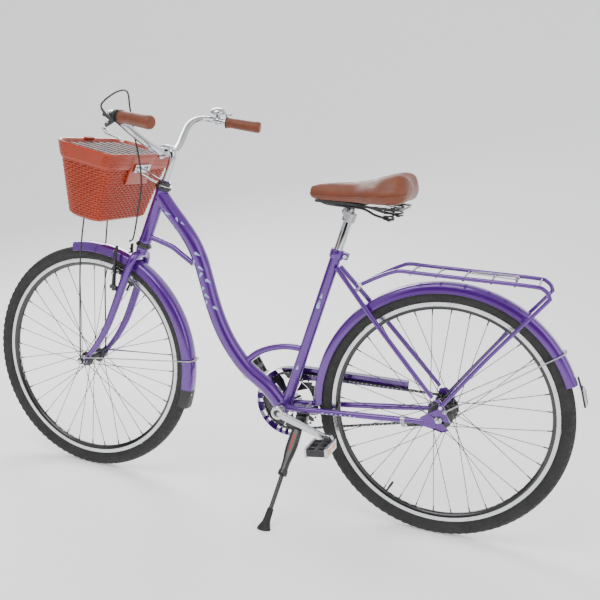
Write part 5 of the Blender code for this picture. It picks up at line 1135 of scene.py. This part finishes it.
def gear(teeth, x, z, turn, y, thick, holes, material=0):
    """A toothed plate: the outline's radius falls from tip to root as a power of a cosine, tooth by tooth."""
    radius = PITCH / (2 * math.sin(math.pi / teeth))
    a = np.arange(teeth * 8) * TURN / (teeth * 8)
    wave = (0.5 - 0.5 * np.cos(a * teeth)) ** 0.8
    r = radius - 0.0038 + 0.0068 * wave
    ring = np.column_stack([x + r * np.cos(a + turn), z + r * np.sin(a + turn)])
    return flat_piece(ring, holes, thick, y, material)


def arm_parts(turn, side):
    """A forged crank: an oval bar that narrows to the pedal boss, with a bolt cap over the spindle."""
    end = BB + 0.165 * np.array((math.cos(turn), 0, math.sin(turn)))
    a, b = BB + (0, 0.0700 * side, 0), end + (0, 0.0715 * side, 0)
    way = unit(b - a)
    t = np.linspace(0, 1, 12)[:, None]
    wide = np.interp(t[:, 0], [0, 0.12, 0.5, 0.9, 1], [0.0120, 0.0118, 0.0108, 0.0100, 0.0100])
    path = a + (b - a) * t
    rows = [(0.0086, 0.0600), (0.0178, 0.0600), (0.0185, 0.0612), (0.0185, 0.0752), (0.0172, 0.0770), (0.0120, 0.0770),
            (0.0110, 0.0752), (0.0, 0.0752)]
    parts = [lathe(rows, BB, (0, side, 0), 40, 0)]
    half = np.stack([np.cos(np.arange(24) * TURN / 24), np.sin(np.arange(24) * TURN / 24)], -1)
    shape = np.sign(half) * np.abs(half) ** 0.6
    across = np.cross(way, (0, 1, 0))
    skin = np.array([p + shape[:, :1] * across * w + shape[:, 1:] * np.array((0, 1, 0)) * 0.0058
                     for p, w in zip(path, wide)])
    parts.append(sheet_of(skin, False, True))
    rows = [(0.0, 0.0632), (0.0132, 0.0632), (0.0145, 0.0645), (0.0145, 0.0772), (0.0130, 0.0788), (0.0, 0.0788)]
    parts.append(lathe(rows, end, (0, side, 0), 36, 0))
    parts.append(lathe([(0, 0.0757), (0.0095, 0.0757), (0.0102, 0.0750), (0, 0.0745)], BB, (0, side, 0), 28, 1))
    return parts


def pedal_parts(turn, side, tilt):
    end = BB + 0.165 * np.array((math.cos(turn), 0, math.sin(turn)))
    mid, w, h, t = 0.142, 0.033, 0.046, 0.013
    parts = []
    for face in (1, -1):
        parts.append(slab((0.0080, 2 * h, 2 * t), (face * (w - 0.004), mid, 0), None, 0.25, material=2, power=8.0))
        for y in (-0.020, 0.020):
            parts.append(slab((0.0030, 0.026, 0.012), (face * (w - 0.0008), mid + y, 0), None, 0.5, material=1,
                              power=8.0))
        for i in range(9):
            for z in (1, -1):
                parts.append(slab((0.0070, 0.0044, 0.0020), (face * (w - 0.004), mid - 0.040 + 0.010 * i,
                                                            z * (t - 0.0006)), None, 0.5, rows=3, sides=8,
                                  material=2))
    for y in (mid - h + 0.005, mid - 0.018, mid + 0.018, mid + h - 0.005):
        parts.append(slab((2 * w - 0.004, 0.0090, 2 * t - 0.008), (0, y, 0), None, 0.3, power=8.0))
    core = [(0.0048, 0.0797), (0.0074, 0.0797), (0.0074, 0.0860), (0.0100, 0.0875), (0.0100, mid + h - 0.006),
            (0.0085, mid + h - 0.003), (0.0, mid + h - 0.003)]
    parts.append(lathe(core, (0, 0, 0), (0, 1, 0), 28))
    parts.append(nut((0, 0.0797, 0), (0, 1, 0), 0.0086, 0.0040, 2))
    turned_by = about((0, 1, 0), tilt)
    flip = np.array((1, side, 1))
    out = []
    for points, quads, uv, material in parts:
        points = (points * flip) @ turned_by.T + end
        out.append((points, quads, uv, material))
    return out


def make_drive():
    make_chain()
    left, right = CRANK_ANGLE, CRANK_ANGLE + math.pi
    piece("forged_left_crank", arm_parts(left, 1), [M["alloy"], M["plastic"]], "cranks", ["crank_left"])
    windows = []
    for i in range(5):
        a = CRANK_ANGLE + TURN * (i + 0.5) / 5 - 0.42 + 0.84 * np.linspace(0, 1, 9)
        windows.append([*zip(BB[0] + 0.070 * np.cos(a), BB[2] + 0.070 * np.sin(a)),
                        *zip(BB[0] + 0.036 * np.cos(a[::-1]), BB[2] + 0.036 * np.sin(a[::-1]))])
    parts = arm_parts(right, -1) + gear(RING_TEETH, BB[0], BB[2], CRANK_ANGLE + math.pi / RING_TEETH, CHAIN_Y, 0.0022,
                                        [circle(BB[0], BB[2], 0.0125, 32), *windows], 1)
    spider = [(0.0175, 0.0612), (0.0175, 0.0465), (0.0090, 0.0465), (0.0090, 0.0612)]
    parts.append(lathe(spider, BB, (0, -1, 0), 32, loop=True))
    piece("forged_right_crank_and_ring", parts, [M["alloy"], M["black"]], "cranks", ["crank_right_ring"])
    rows = [(0.0, 0.0590), (0.0083, 0.0590), (0.0085, 0.0385), (0.0116, 0.0370), (0.0116, -0.0370),
            (0.0085, -0.0385), (0.0083, -0.0590), (0.0, -0.0590)]
    piece("turned_spindle", [lathe(rows, BB, (0, 1, 0), 32)], [M["steel"]], "cranks", ["crank_spindle"])
    piece("caged_left_pedal", pedal_parts(left, 1, math.radians(8)), [M["plastic"], M["amber"], M["alloy"]],
          "left_pedal", ["pedal_left"])
    piece("caged_right_pedal", pedal_parts(right, -1, math.radians(-56)), [M["plastic"], M["amber"], M["alloy"]],
          "right_pedal", ["pedal_right"])
    parts = gear(COG_TEETH, 0, 0, math.pi / COG_TEETH, CHAIN_Y, 0.0022, [circle(0, 0, 0.0150, 28)])
    parts.append(lathe([(0.0200, 0.0515), (0.0200, 0.0395), (0.0100, 0.0395), (0.0100, 0.0515)], (0, 0, 0),
                       (0, -1, 0), 32, loop=True))
    piece("toothed_sprocket", parts, [M["black"]], "sprocket", ["rear_sprocket"])
    _, big, _ = chain_route()
    out = big + 0.0165

    def arc(radius, first, last, count=40):
        a = np.radians(np.linspace(first, last, count))
        return np.column_stack([BB[0] + radius * np.cos(a), BB[2] + radius * np.sin(a)])

    ring = np.vstack([[(0.110, 0.062), (0.110, 0.028), (0.300, 0.024)], arc(out - 0.030, 118, -110),
                      arc(out, -106, 97)])
    band = np.vstack([arc(out, -106, 97), smooth([(0.448, 0.0585), (0.300, 0.0605), (0.110, 0.0620)], 6)])
    walls = np.array([np.column_stack([band[:, 0], np.full(len(band), y), band[:, 1]])
                      for y in (-0.0566, -0.0345, -0.0337)])
    parts = flat_piece(ring, [], 0.0012, -0.0560) + [sheet_of(walls[:3], False, False)]
    lower = walls[:2] + (0, 0, -0.0011)
    parts.append(sheet_of(lower[::-1], False, False))
    piece("hoop_chain_case", parts, [M["paint"]], "frame", ["chain_case"])
    stripes = []
    for first, last in ((100, 62), (40, 8), (-20, -60), (-76, -104)):
        pale = np.array([np.column_stack([arc(r, first, last, 24)[:, 0], np.full(24, y),
                                          arc(r, first, last, 24)[:, 1]])
                         for r, y in ((out - 0.024, -0.0569), (out - 0.018, -0.0569))])
        stripes.append(sheet_of(pale, False, False))
    made = piece("chain_case_stripes", stripes, [M["pale_paint"]], "frame", weld=False)
    solid = made.modifiers.new("thickness", "SOLIDIFY")
    solid.thickness, solid.offset = 0.0003, 0
    ring = smooth([(-0.014, -0.012), (0.000, -0.018), (0.045, -0.030), (0.096, -0.0405), (0.103, -0.0370),
                   (0.098, -0.0325), (0.060, -0.0235), (0.020, -0.006), (0.012, 0.012), (0.0, 0.017),
                   (-0.012, 0.012)], 4, True)
    parts = flat_piece(ring, [circle(0, 0, 0.0053)], 0.0026, 0.0440)
    parts.append(nut((0.094, 0.0455, -0.0370), (0, 1, 0), 0.0050, 0.0035, 1))
    lie = unit(np.array((0.24 - 0.120, 0, -0.0115)))
    parts.append(lathe([(0.0094, -0.006), (0.0104, -0.006), (0.0104, 0.006), (0.0094, 0.006)],
                       (0.098, 0.0538, -0.0177), lie, 28, 1, loop=True))
    parts.append(slab((0.010, 0.0035, 0.020), (0.097, 0.0470, -0.0290), None, 0.5, material=1))
    piece("coaster_reaction_arm", parts, [M["black"], M["steel"]], "frame", ["coaster_arm"])


# ---- kickstand ----
STAND_PIVOT = np.array((0.4020, 0.0480, -0.0930))
LEG = unit(np.array((0.100, 0.765, -1.0)))
LEG_X = unit(np.array((1.0, 0, 0)) - LEG * LEG[0])
LEG_Y = np.cross(LEG, LEG_X)


def make_stand():
    parts = [slab((0.040, 0.052, 0.008), (0.400, 0, -0.0640), None, 0.3, power=8.0),
             slab((0.034, 0.030, 0.022), (0.402, 0.018, -0.0780), None, 0.2, power=8.0),
             rod((0.402, 0.012, -0.086), (0.402, 0.034, -0.0905), 0.012, 28),
             nut((0.400, 0.000, -0.0680), (0, 0, -1), 0.0075, 0.0060, 1)]
    piece("stand_bracket", parts, [M["black"], M["steel"]], "frame", ["kickstand_bracket"])
    rows = smooth([(-0.010, 0.0105, 0.0080), (-0.004, 0.0122, 0.0088), (0.012, 0.0150, 0.0095),
                   (0.055, 0.0170, 0.0100), (0.085, 0.0150, 0.0100), (0.110, 0.0115, 0.0100),
                   (0.150, 0.0105, 0.0100)], 5)
    a = np.arange(36) * TURN / 36
    shape = np.stack([np.sign(np.cos(a)) * abs(np.cos(a)) ** 0.75, np.sign(np.sin(a)) * abs(np.sin(a)) ** 0.75], -1)
    skin = np.array([STAND_PIVOT + LEG * s + shape[:, :1] * LEG_X * w + shape[:, 1:] * LEG_Y * d
                     for s, w, d in rows])
    ends = [STAND_PIVOT + LEG * rows[k][0] + (skin[k] - STAND_PIVOT - LEG * rows[k][0]) * 0.0 for k in (0, -1)]
    leg_turn = np.column_stack([LEG_X, LEG_Y, LEG])
    mid = STAND_PIVOT + LEG * 0.052
    parts = [sheet_of(np.concatenate([ends[0][None], skin, ends[1][None]]), False, True),
             slab((0.0075, 0.0210, 0.052), mid, leg_turn, 0.3, material=1, power=4.0),
             lathe([(0.0069, -0.008), (0.0130, -0.008), (0.0138, -0.006), (0.0138, 0.006), (0.0130, 0.008),
                    (0.0069, 0.008)], STAND_PIVOT + LEG * 0.141, LEG, 32, 0, loop=True),
             nut(STAND_PIVOT + LEG * 0.141 + LEG_Y * 0.0125, LEG_Y, 0.0042, 0.0060, 2),
             domed(STAND_PIVOT + LEG_Y * 0.0082, LEG_Y, 0.0055, 0.0030, 2)]
    piece("stand_leg_cover", parts, [M["black"], M["red"], M["steel"]], "stand_leg", ["kickstand_leg"])
    up = LEAN.T @ np.array((0, 0, 1.0))
    core = 0.355 - 0.022
    ground = -(core * math.cos(math.radians(5)) + 0.022)
    foot = STAND_PIVOT + LEG * ((ground - STAND_PIVOT @ up) / (LEG @ up))
    flat = np.outer(np.cos(a), (1, 0, 0)), np.outer(np.sin(a), (0, 1, 0))

    def ring_at(spot, wide, deep, square_to):
        out = flat[0] * wide + flat[1] * deep
        return spot + out - (out @ square_to)[:, None] * square_to

    def neck_at(distance, radius):
        out = flat[0] + flat[1]
        out = unit(out - (out @ LEG)[:, None] * LEG)
        return foot - LEG * distance + out * radius

    rows = [neck_at(0.060, 0.0), neck_at(0.060, 0.0080), neck_at(0.0585, 0.0092), neck_at(0.045, 0.0096),
            neck_at(0.030, 0.0104), neck_at(0.022, 0.0114), ring_at(foot + up * 0.0075, 0.0178, 0.0128, up),
            ring_at(foot + up * 0.0030, 0.0196, 0.0130, up), ring_at(foot + up * 0.0006, 0.0200, 0.0130, up),
            ring_at(foot + up * 0.0004, 0.0186, 0.0120, up), ring_at(foot + up * 0.0004, 0.0, 0.0, up)]
    parts = [sheet_of(np.array(rows), False, True),
             rod(STAND_PIVOT + LEG * 0.095, foot - LEG * 0.040, 0.0064, 28, 1)]
    piece("rubber_stand_foot", parts, [M["rubber"], M["black"]], "stand_foot", ["kickstand_foot"])


# ---- seat post and saddle ----
POST_TOP = SEAT_TOP + SEAT * 0.108
CLAMP = POST_TOP - SEAT * 0.012
SADDLE_AT = CLAMP + (0.004, 0, 0.0155)
RAIL_Z = SADDLE_AT[2] + 0.0150
SADDLE = [(0.4160, 0.0120, 0.5740, 0.5860, 0.55), (0.4080, 0.0200, 0.5660, 0.5920, 0.55),
          (0.3750, 0.0270, 0.5640, 0.5990, 0.55), (0.3300, 0.0360, 0.5640, 0.6030, 0.55),
          (0.2850, 0.0520, 0.5655, 0.6080, 0.55), (0.2400, 0.0820, 0.5670, 0.6180, 0.6),
          (0.2000, 0.1030, 0.5690, 0.6310, 0.62), (0.1620, 0.1060, 0.5720, 0.6400, 0.62),
          (0.1380, 0.0920, 0.5790, 0.6370, 0.6), (0.1290, 0.0700, 0.5920, 0.6220, 0.6)]


def make_post():
    rows = [(0.0, -0.150), (0.0120, -0.150), (0.0127, -0.1485), (0.0127, 0.1070), (0.0120, 0.108), (0.0, 0.108)]
    piece("chrome_seat_post", [lathe(rows, SEAT_TOP, SEAT, 40)], [M["chrome"]], "post", ["seat_post"])
    rows = [(0.0164, -0.026), (0.0200, -0.026), (0.0207, -0.025), (0.0207, -0.003), (0.0200, -0.002),
            (0.0164, -0.002)]
    spot = SEAT_TOP - SEAT * 0.014 + (-0.0265, 0, -0.004)
    tilt = about((0, 1, 0), -math.radians(90 - 74.6))
    parts = [lathe(rows, SEAT_TOP, SEAT, 44, loop=True)]
    for side in (1, -1):
        parts.append(slab((0.017, 0.0082, 0.018), spot + (0.0010, 0.0058 * side, 0), tilt, 0.35))
        parts.append(nut(spot + (0, 0.0100 * side, 0), (0, side, 0), 0.0062, 0.0055, 1, 6 if side > 0 else 20))
    parts.append(rod(spot + (0, -0.012, 0), spot + (0, 0.012, 0), 0.0035, 16, 1))
    piece("painted_seat_clamp", parts, [M["paint"], M["chrome"]], "frame", ["seat_clamp"])
    parts = [lathe([(0.0130, -0.013), (0.0180, -0.013), (0.0190, -0.012), (0.0190, 0.012), (0.0180, 0.013),
                    (0.0130, 0.013)], CLAMP, SEAT, 40, loop=True),
             rod(SADDLE_AT - (0, 0.030, 0), SADDLE_AT + (0, 0.030, 0), 0.0090, 28)]
    for side in (1, -1):
        parts.append(rod(CLAMP + (0.002, 0.0170 * side, -0.004), SADDLE_AT + (0, 0.0170 * side, 0), 0.0075, 20))
        parts.append(nut(SADDLE_AT + (0, 0.0300 * side, 0), (0, side, 0), 0.0075, 0.0050))
        parts.append(rod(SADDLE_AT + (0, 0.0215 * side, 0), SADDLE_AT + (0, 0.0265 * side, 0), 0.0120, 28))
    piece("saddle_clamp_head", parts, [M["steel"]], "post", ["saddle_clamp"])
    half = smooth([(0.3880, 0.0, RAIL_Z + 0.0070), (0.3840, 0.0100, RAIL_Z + 0.0065),
                   (0.3600, 0.0190, RAIL_Z + 0.0020), (0.3200, 0.0220, RAIL_Z), (0.2600, 0.0240, RAIL_Z - 0.002),
                   (0.2200, 0.0420, RAIL_Z - 0.014), (0.1900, 0.0560, RAIL_Z - 0.018),
                   (0.1780, 0.0560, RAIL_Z - 0.018)], 6)
    parts = [sweep(np.vstack([on_side(half[:0:-1], -1), half]), 0.0035, 16)]
    for side in (1, -1):
        t = np.linspace(0, 1, 110)
        a = TURN * 3.5 * t + math.pi / 2 * side
        parts.append(sweep(np.column_stack([0.1780 + 0.0135 * np.cos(a), side * 0.0560 + 0.0135 * np.sin(a),
                                            RAIL_Z - 0.0185 + 0.0265 * t]), 0.0021, 10))
        parts.append(rod((0.178, side * 0.056, RAIL_Z - 0.0225), (0.178, side * 0.056, RAIL_Z - 0.0190), 0.0160, 32))
        parts.append(nut((0.178, side * 0.056, RAIL_Z - 0.0225), (0, 0, -1), 0.0060, 0.0036))
    base = np.array([(0.4000, 0.0120), (0.3750, 0.0195), (0.3300, 0.0270), (0.2850, 0.0390), (0.2400, 0.0620),
                     (0.2000, 0.0780), (0.1620, 0.0800), (0.1450, 0.0660)])
    ring = smooth(np.vstack([base, (base * (1, -1))[::-1]]), 5, True)
    tray = [(part[0] @ about((1, 0, 0), math.radians(-90)).T * (1, 1, 1) + (0, 0, 0.5590), *part[1:])
            for part in flat_piece(ring, [], 0.0070, 0.0)]
    piece("saddle_base_and_springs", parts + tray, [M["black"]], "saddle", ["saddle_frame"])


def saddle_rows():
    """Saddle cross-sections smoothed both ways; a shallow valley runs along the middle of the seat."""
    rows = smooth(SADDLE, 6)
    rows[:, 3] += 0.0075
    rings = []
    for x, half, low, high, flat in rows:
        mid = (low + high) / 2
        dip = 0.0060 * np.clip((half - 0.030) / 0.050, 0, 1)
        ring = [(half * 0.80, low), (half, low + (mid - low) * 0.6), (half * 0.94, mid + 0.004),
                (half * flat, high), (0.0, high - dip), (-half * flat, high), (-half * 0.94, mid + 0.004),
                (-half, low + (mid - low) * 0.6), (-half * 0.80, low), (0.0, low)]
        ring = smooth(ring, 8, True)
        rings.append(np.column_stack([np.full(len(ring), x), ring]))
    rings = np.array(rings)
    mid = rings.mean(1, keepdims=True)
    rings = np.concatenate([mid[:1] + (rings[:1] - mid[:1]) * 0.0, mid[:1] + (rings[:1] - mid[:1]) * 0.6, rings,
                            mid[-1:] + (rings[-1:] - mid[-1:]) * 0.6, mid[-1:] + (rings[-1:] - mid[-1:]) * 0.0])
    return rings


CLOTH_VOXEL, CLOTH_FRAMES, CLOTH_PRESSURE, MOST_MOVE = 0.0050, 20, 4.0, 0.0030


def relax(obj):
    """Cloth under inside pressure, its underside held; then each point's move is capped and the result kept."""
    mesh = obj.data
    remesh = obj.modifiers.new("remesh", "REMESH")
    remesh.mode, remesh.voxel_size = "VOXEL", CLOTH_VOXEL
    graph = bpy.context.evaluated_depsgraph_get()
    even = bpy.data.meshes.new_from_object(obj.evaluated_get(graph))
    obj.modifiers.clear()
    obj.data = even
    even.name = mesh.name
    count = len(even.vertices)
    start = np.empty(count * 3, np.float32)
    even.vertices.foreach_get("co", start)
    start = start.reshape(-1, 3)
    flat = in_bike(start)
    held = flat[:, 2] < 0.5705 + 0.02 * np.clip((0.17 - flat[:, 0]) / 0.04, 0, 1)
    group = obj.vertex_groups.new(name="held")
    group.add([int(i) for i in np.flatnonzero(held)], 1.0, "REPLACE")
    cloth = obj.modifiers.new("cloth", "CLOTH")
    cloth.settings.quality = 4
    cloth.settings.mass = 0.3
    cloth.settings.tension_stiffness = 20
    cloth.settings.compression_stiffness = 20
    cloth.settings.bending_stiffness = 0.6
    cloth.settings.vertex_group_mass = "held"
    cloth.settings.use_pressure = True
    cloth.settings.uniform_pressure_force = CLOTH_PRESSURE
    cloth.settings.effector_weights.gravity = 0.0
    cloth.collision_settings.use_collision = False
    cloth.point_cache.frame_start, cloth.point_cache.frame_end = 1, CLOTH_FRAMES
    scene = bpy.context.scene
    for step in range(1, CLOTH_FRAMES + 1):
        scene.frame_set(step)
    graph = bpy.context.evaluated_depsgraph_get()
    puffed = bpy.data.meshes.new_from_object(obj.evaluated_get(graph))
    after = np.empty(len(puffed.vertices) * 3, np.float32)
    puffed.vertices.foreach_get("co", after)
    bpy.data.meshes.remove(puffed)
    move = after.reshape(-1, 3) - start
    size = np.linalg.norm(move, axis=1, keepdims=True)
    move = move * np.minimum(1, MOST_MOVE / np.maximum(size, 1e-9))
    obj.modifiers.clear()
    obj.vertex_groups.clear()
    even.vertices.foreach_set("co", (start + move).astype(np.float32).ravel())
    even.update()
    scene.frame_set(1)
    if not even.uv_layers:
        even.uv_layers.new(name="surface")


def make_saddle():
    rings = saddle_rows()
    obj = piece("padded_saddle", [sheet_of(rings, False, True)], [M["leather"]], "saddle", ["saddle_cover"],
                crease=80)
    relax(obj)
    obj.data.materials.clear()
    obj.data.materials.append(M["leather"])
    obj.data.polygons.foreach_set("material_index", np.zeros(len(obj.data.polygons), np.int32))
    sub = obj.modifiers.new("smoothing", "SUBSURF")
    sub.levels = sub.render_levels = 1
    obj.data.polygons.foreach_set("use_smooth", np.ones(len(obj.data.polygons), bool))
    around = rings.shape[1]
    seams = []
    edge = rings[3:-3, :, :]
    for index in (int(around * 0.10), int(around * 0.70)):
        line = edge[:, index % around]
        mid = edge.mean(1)
        out = unit(line - mid)
        seams.append(sweep(line + out * 0.0012, 0.0013, 8))
    piece("saddle_piping", seams, [M["leather"]], "saddle")


# ---- floor, light and camera ----
def lamp(name, size, energy, spot, target):
    light = bpy.data.lights.new(name, "AREA")
    light.shape, light.size, light.energy = "SQUARE", size, energy
    obj = bpy.data.objects.new(name, light)
    bpy.context.scene.collection.objects.link(obj)
    obj.location = spot
    obj.rotation_euler = (Vector(target) - Vector(spot)).to_track_quat("-Z", "Y").to_euler()


def make_stage():
    half, bend, start = 9.0, 6.0, -1.1
    a = np.linspace(0, math.pi / 2, 64)
    far = np.concatenate([[3.2], start - bend * np.sin(a), [start - bend]])
    up = np.concatenate([[0.0], bend * (1 - np.cos(a)), [9.0]])
    x = np.linspace(-half, half, 3)
    skin = np.stack([np.broadcast_to(x[:, None], (3, len(far))), np.broadcast_to(far, (3, len(far))),
                     np.broadcast_to(up, (3, len(far)))], -1)
    points, quads, *_ = sheet_of(skin)
    mesh = bpy.data.meshes.new("sweep_floor")
    mesh.from_pydata(points, [], quads[:, ::-1])
    mesh.materials.append(M["floor"])
    mesh.polygons.foreach_set("use_smooth", np.ones(len(mesh.polygons), bool))
    floor = bpy.data.objects.new("sweep_floor", mesh)
    bpy.context.scene.collection.objects.link(floor)
    lamp("key_light", 2.6, 85, (0.6, 2.4, 3.4), (0, 0, 0.5))
    lamp("fill_light", 3.2, 45, (-3.4, 1.4, 2.2), (0, 0, 0.5))
    lamp("rim_light", 2.0, 90, (1.8, -2.2, 2.8), (0, 0, 0.6))
    dark = shader("dark_card", (0.01, 0.01, 0.01), 1.0)[0]
    for name, spot, size in (("card_behind", (-1.2, 5.5, 1.6), (3.0, 0.02, 1.3)),
                             ("card_side", (5.0, 1.0, 1.4), (0.02, 2.2, 1.3))):
        points = np.array([(x, y, z) for x in (-1, 1) for y in (-1, 1) for z in (-1, 1)]) * size + spot
        mesh = bpy.data.meshes.new(name)
        mesh.from_pydata(points, [], [(0, 1, 3, 2), (4, 6, 7, 5), (0, 4, 5, 1), (2, 3, 7, 6), (0, 2, 6, 4),
                                      (1, 5, 7, 3)])
        mesh.materials.append(dark)
        card = bpy.data.objects.new(name, mesh)
        bpy.context.scene.collection.objects.link(card)
        card.visible_camera = False
    world = bpy.data.worlds.new("studio")
    bpy.context.scene.world = world
    world.use_nodes = True
    world.node_tree.nodes["Background"].inputs["Color"].default_value = (0.93, 0.94, 0.96, 1)
    world.node_tree.nodes["Background"].inputs["Strength"].default_value = 0.85


CAMERA_AT = np.array((-0.324, 2.230, 0.807))
CAMERA_YAW, CAMERA_PITCH, CAMERA_ROLL = -71.25, -12.85, 2.89
CAMERA_LENS = 50.56


def make_camera():
    yaw, pitch, roll = (math.radians(v) for v in (CAMERA_YAW, CAMERA_PITCH, CAMERA_ROLL))
    ahead = np.array((math.cos(pitch) * math.cos(yaw), math.cos(pitch) * math.sin(yaw), math.sin(pitch)))
    right = unit(np.cross(ahead, (0, 0, 1)))
    up = np.cross(right, ahead)
    right, up = (math.cos(roll) * right + math.sin(roll) * up, -math.sin(roll) * right + math.cos(roll) * up)
    turn = LEAN @ np.column_stack([right, up, -ahead])
    data = bpy.data.cameras.new("camera")
    data.lens, data.sensor_width, data.sensor_fit = CAMERA_LENS, 36.0, "HORIZONTAL"
    obj = bpy.data.objects.new("camera", data)
    bpy.context.scene.collection.objects.link(obj)
    obj.matrix_world = Matrix.Translation(Vector(upright(CAMERA_AT))) @ Matrix(turn.tolist()).to_4x4()
    bpy.context.scene.camera = obj


# ---- add-on: settings, operators, panel ----
class BicycleColours(bpy.types.PropertyGroup):
    paint: bpy.props.FloatVectorProperty(name="Paint", description="Colour of frame, fork, fenders and rack",
                                         default=(0.105, 0.012, 0.270), min=0, max=1, size=3, subtype="COLOR")
    basket: bpy.props.FloatVectorProperty(name="Basket", description="Colour of the woven basket",
                                          default=(0.40, 0.036, 0.004), min=0, max=1, size=3, subtype="COLOR")
    leather: bpy.props.FloatVectorProperty(name="Saddle and grips", description="Colour of the soft parts",
                                           default=(0.190, 0.042, 0.010), min=0, max=1, size=3, subtype="COLOR")


def operator(label, idname, doc, steps):
    """An operator class that runs these functions in turn."""
    def execute(self, context):
        if not M:
            M.update(make_finishes(context.scene.bicycle_colours))
        for step in steps:
            step()
        return {"FINISHED"}

    return type("BICYCLE_OT_" + idname, (bpy.types.Operator,), {
        "__doc__": doc, "bl_idname": "bicycle." + idname, "bl_label": label, "execute": execute})


OPERATORS = [
    operator("Wheels", "wheels", "Build tyres, rims, hubs, spokes and axle nuts", (make_wheels,)),
    operator("Frame", "frame", "Build the painted tubes and headset", (make_frame,)),
    operator("Decoration", "decoration", "Lay pale leaves and dots on the tubes", (make_decoration,)),
    operator("Fork and bar", "steering", "Build the fork, stem, handlebar and grips", (make_fork, make_bar)),
    operator("Brake and bell", "controls", "Build the lever, cable, brake arms and bell", (make_brake, make_bell)),
    operator("Basket", "basket", "Weave the basket and build its lid, arms and stays", (make_basket,)),
    operator("Fenders", "fenders", "Build both fenders, their wires, the flap and reflector", (make_fenders,)),
    operator("Rack", "rack", "Build the rear rack and its spring clip", (make_rack,)),
    operator("Drive", "drive", "Build chain, gears, cranks, pedals and chain case", (make_drive,)),
    operator("Kickstand", "stand", "Build the kickstand", (make_stand,)),
    operator("Saddle", "saddle", "Build the seat post, springs and padded saddle", (make_post, make_saddle)),
    operator("Stage", "stage", "Build the floor, lights and camera", (make_stage, make_camera)),
]


class BICYCLE_PT_panel(bpy.types.Panel):
    """Colours and the building steps, in order"""
    bl_idname = "BICYCLE_PT_panel"
    bl_label = "City bicycle"
    bl_space_type = "VIEW_3D"
    bl_region_type = "UI"
    bl_category = "Bicycle"

    def draw(self, context):
        for name in ("paint", "basket", "leather"):
            self.layout.prop(context.scene.bicycle_colours, name)
        for kind in OPERATORS:
            self.layout.operator(kind.bl_idname)


CLASSES = [BicycleColours, *OPERATORS, BICYCLE_PT_panel]


def register():
    for kind in CLASSES:
        bpy.utils.register_class(kind)
    bpy.types.Scene.bicycle_colours = bpy.props.PointerProperty(type=BicycleColours)


def unregister():
    del bpy.types.Scene.bicycle_colours
    for kind in reversed(CLASSES):
        bpy.utils.unregister_class(kind)


def main():
    register()
    for kind in OPERATORS:
        getattr(bpy.ops.bicycle, kind.bl_idname.split(".")[1])()


if __name__ == "__main__":
    main()
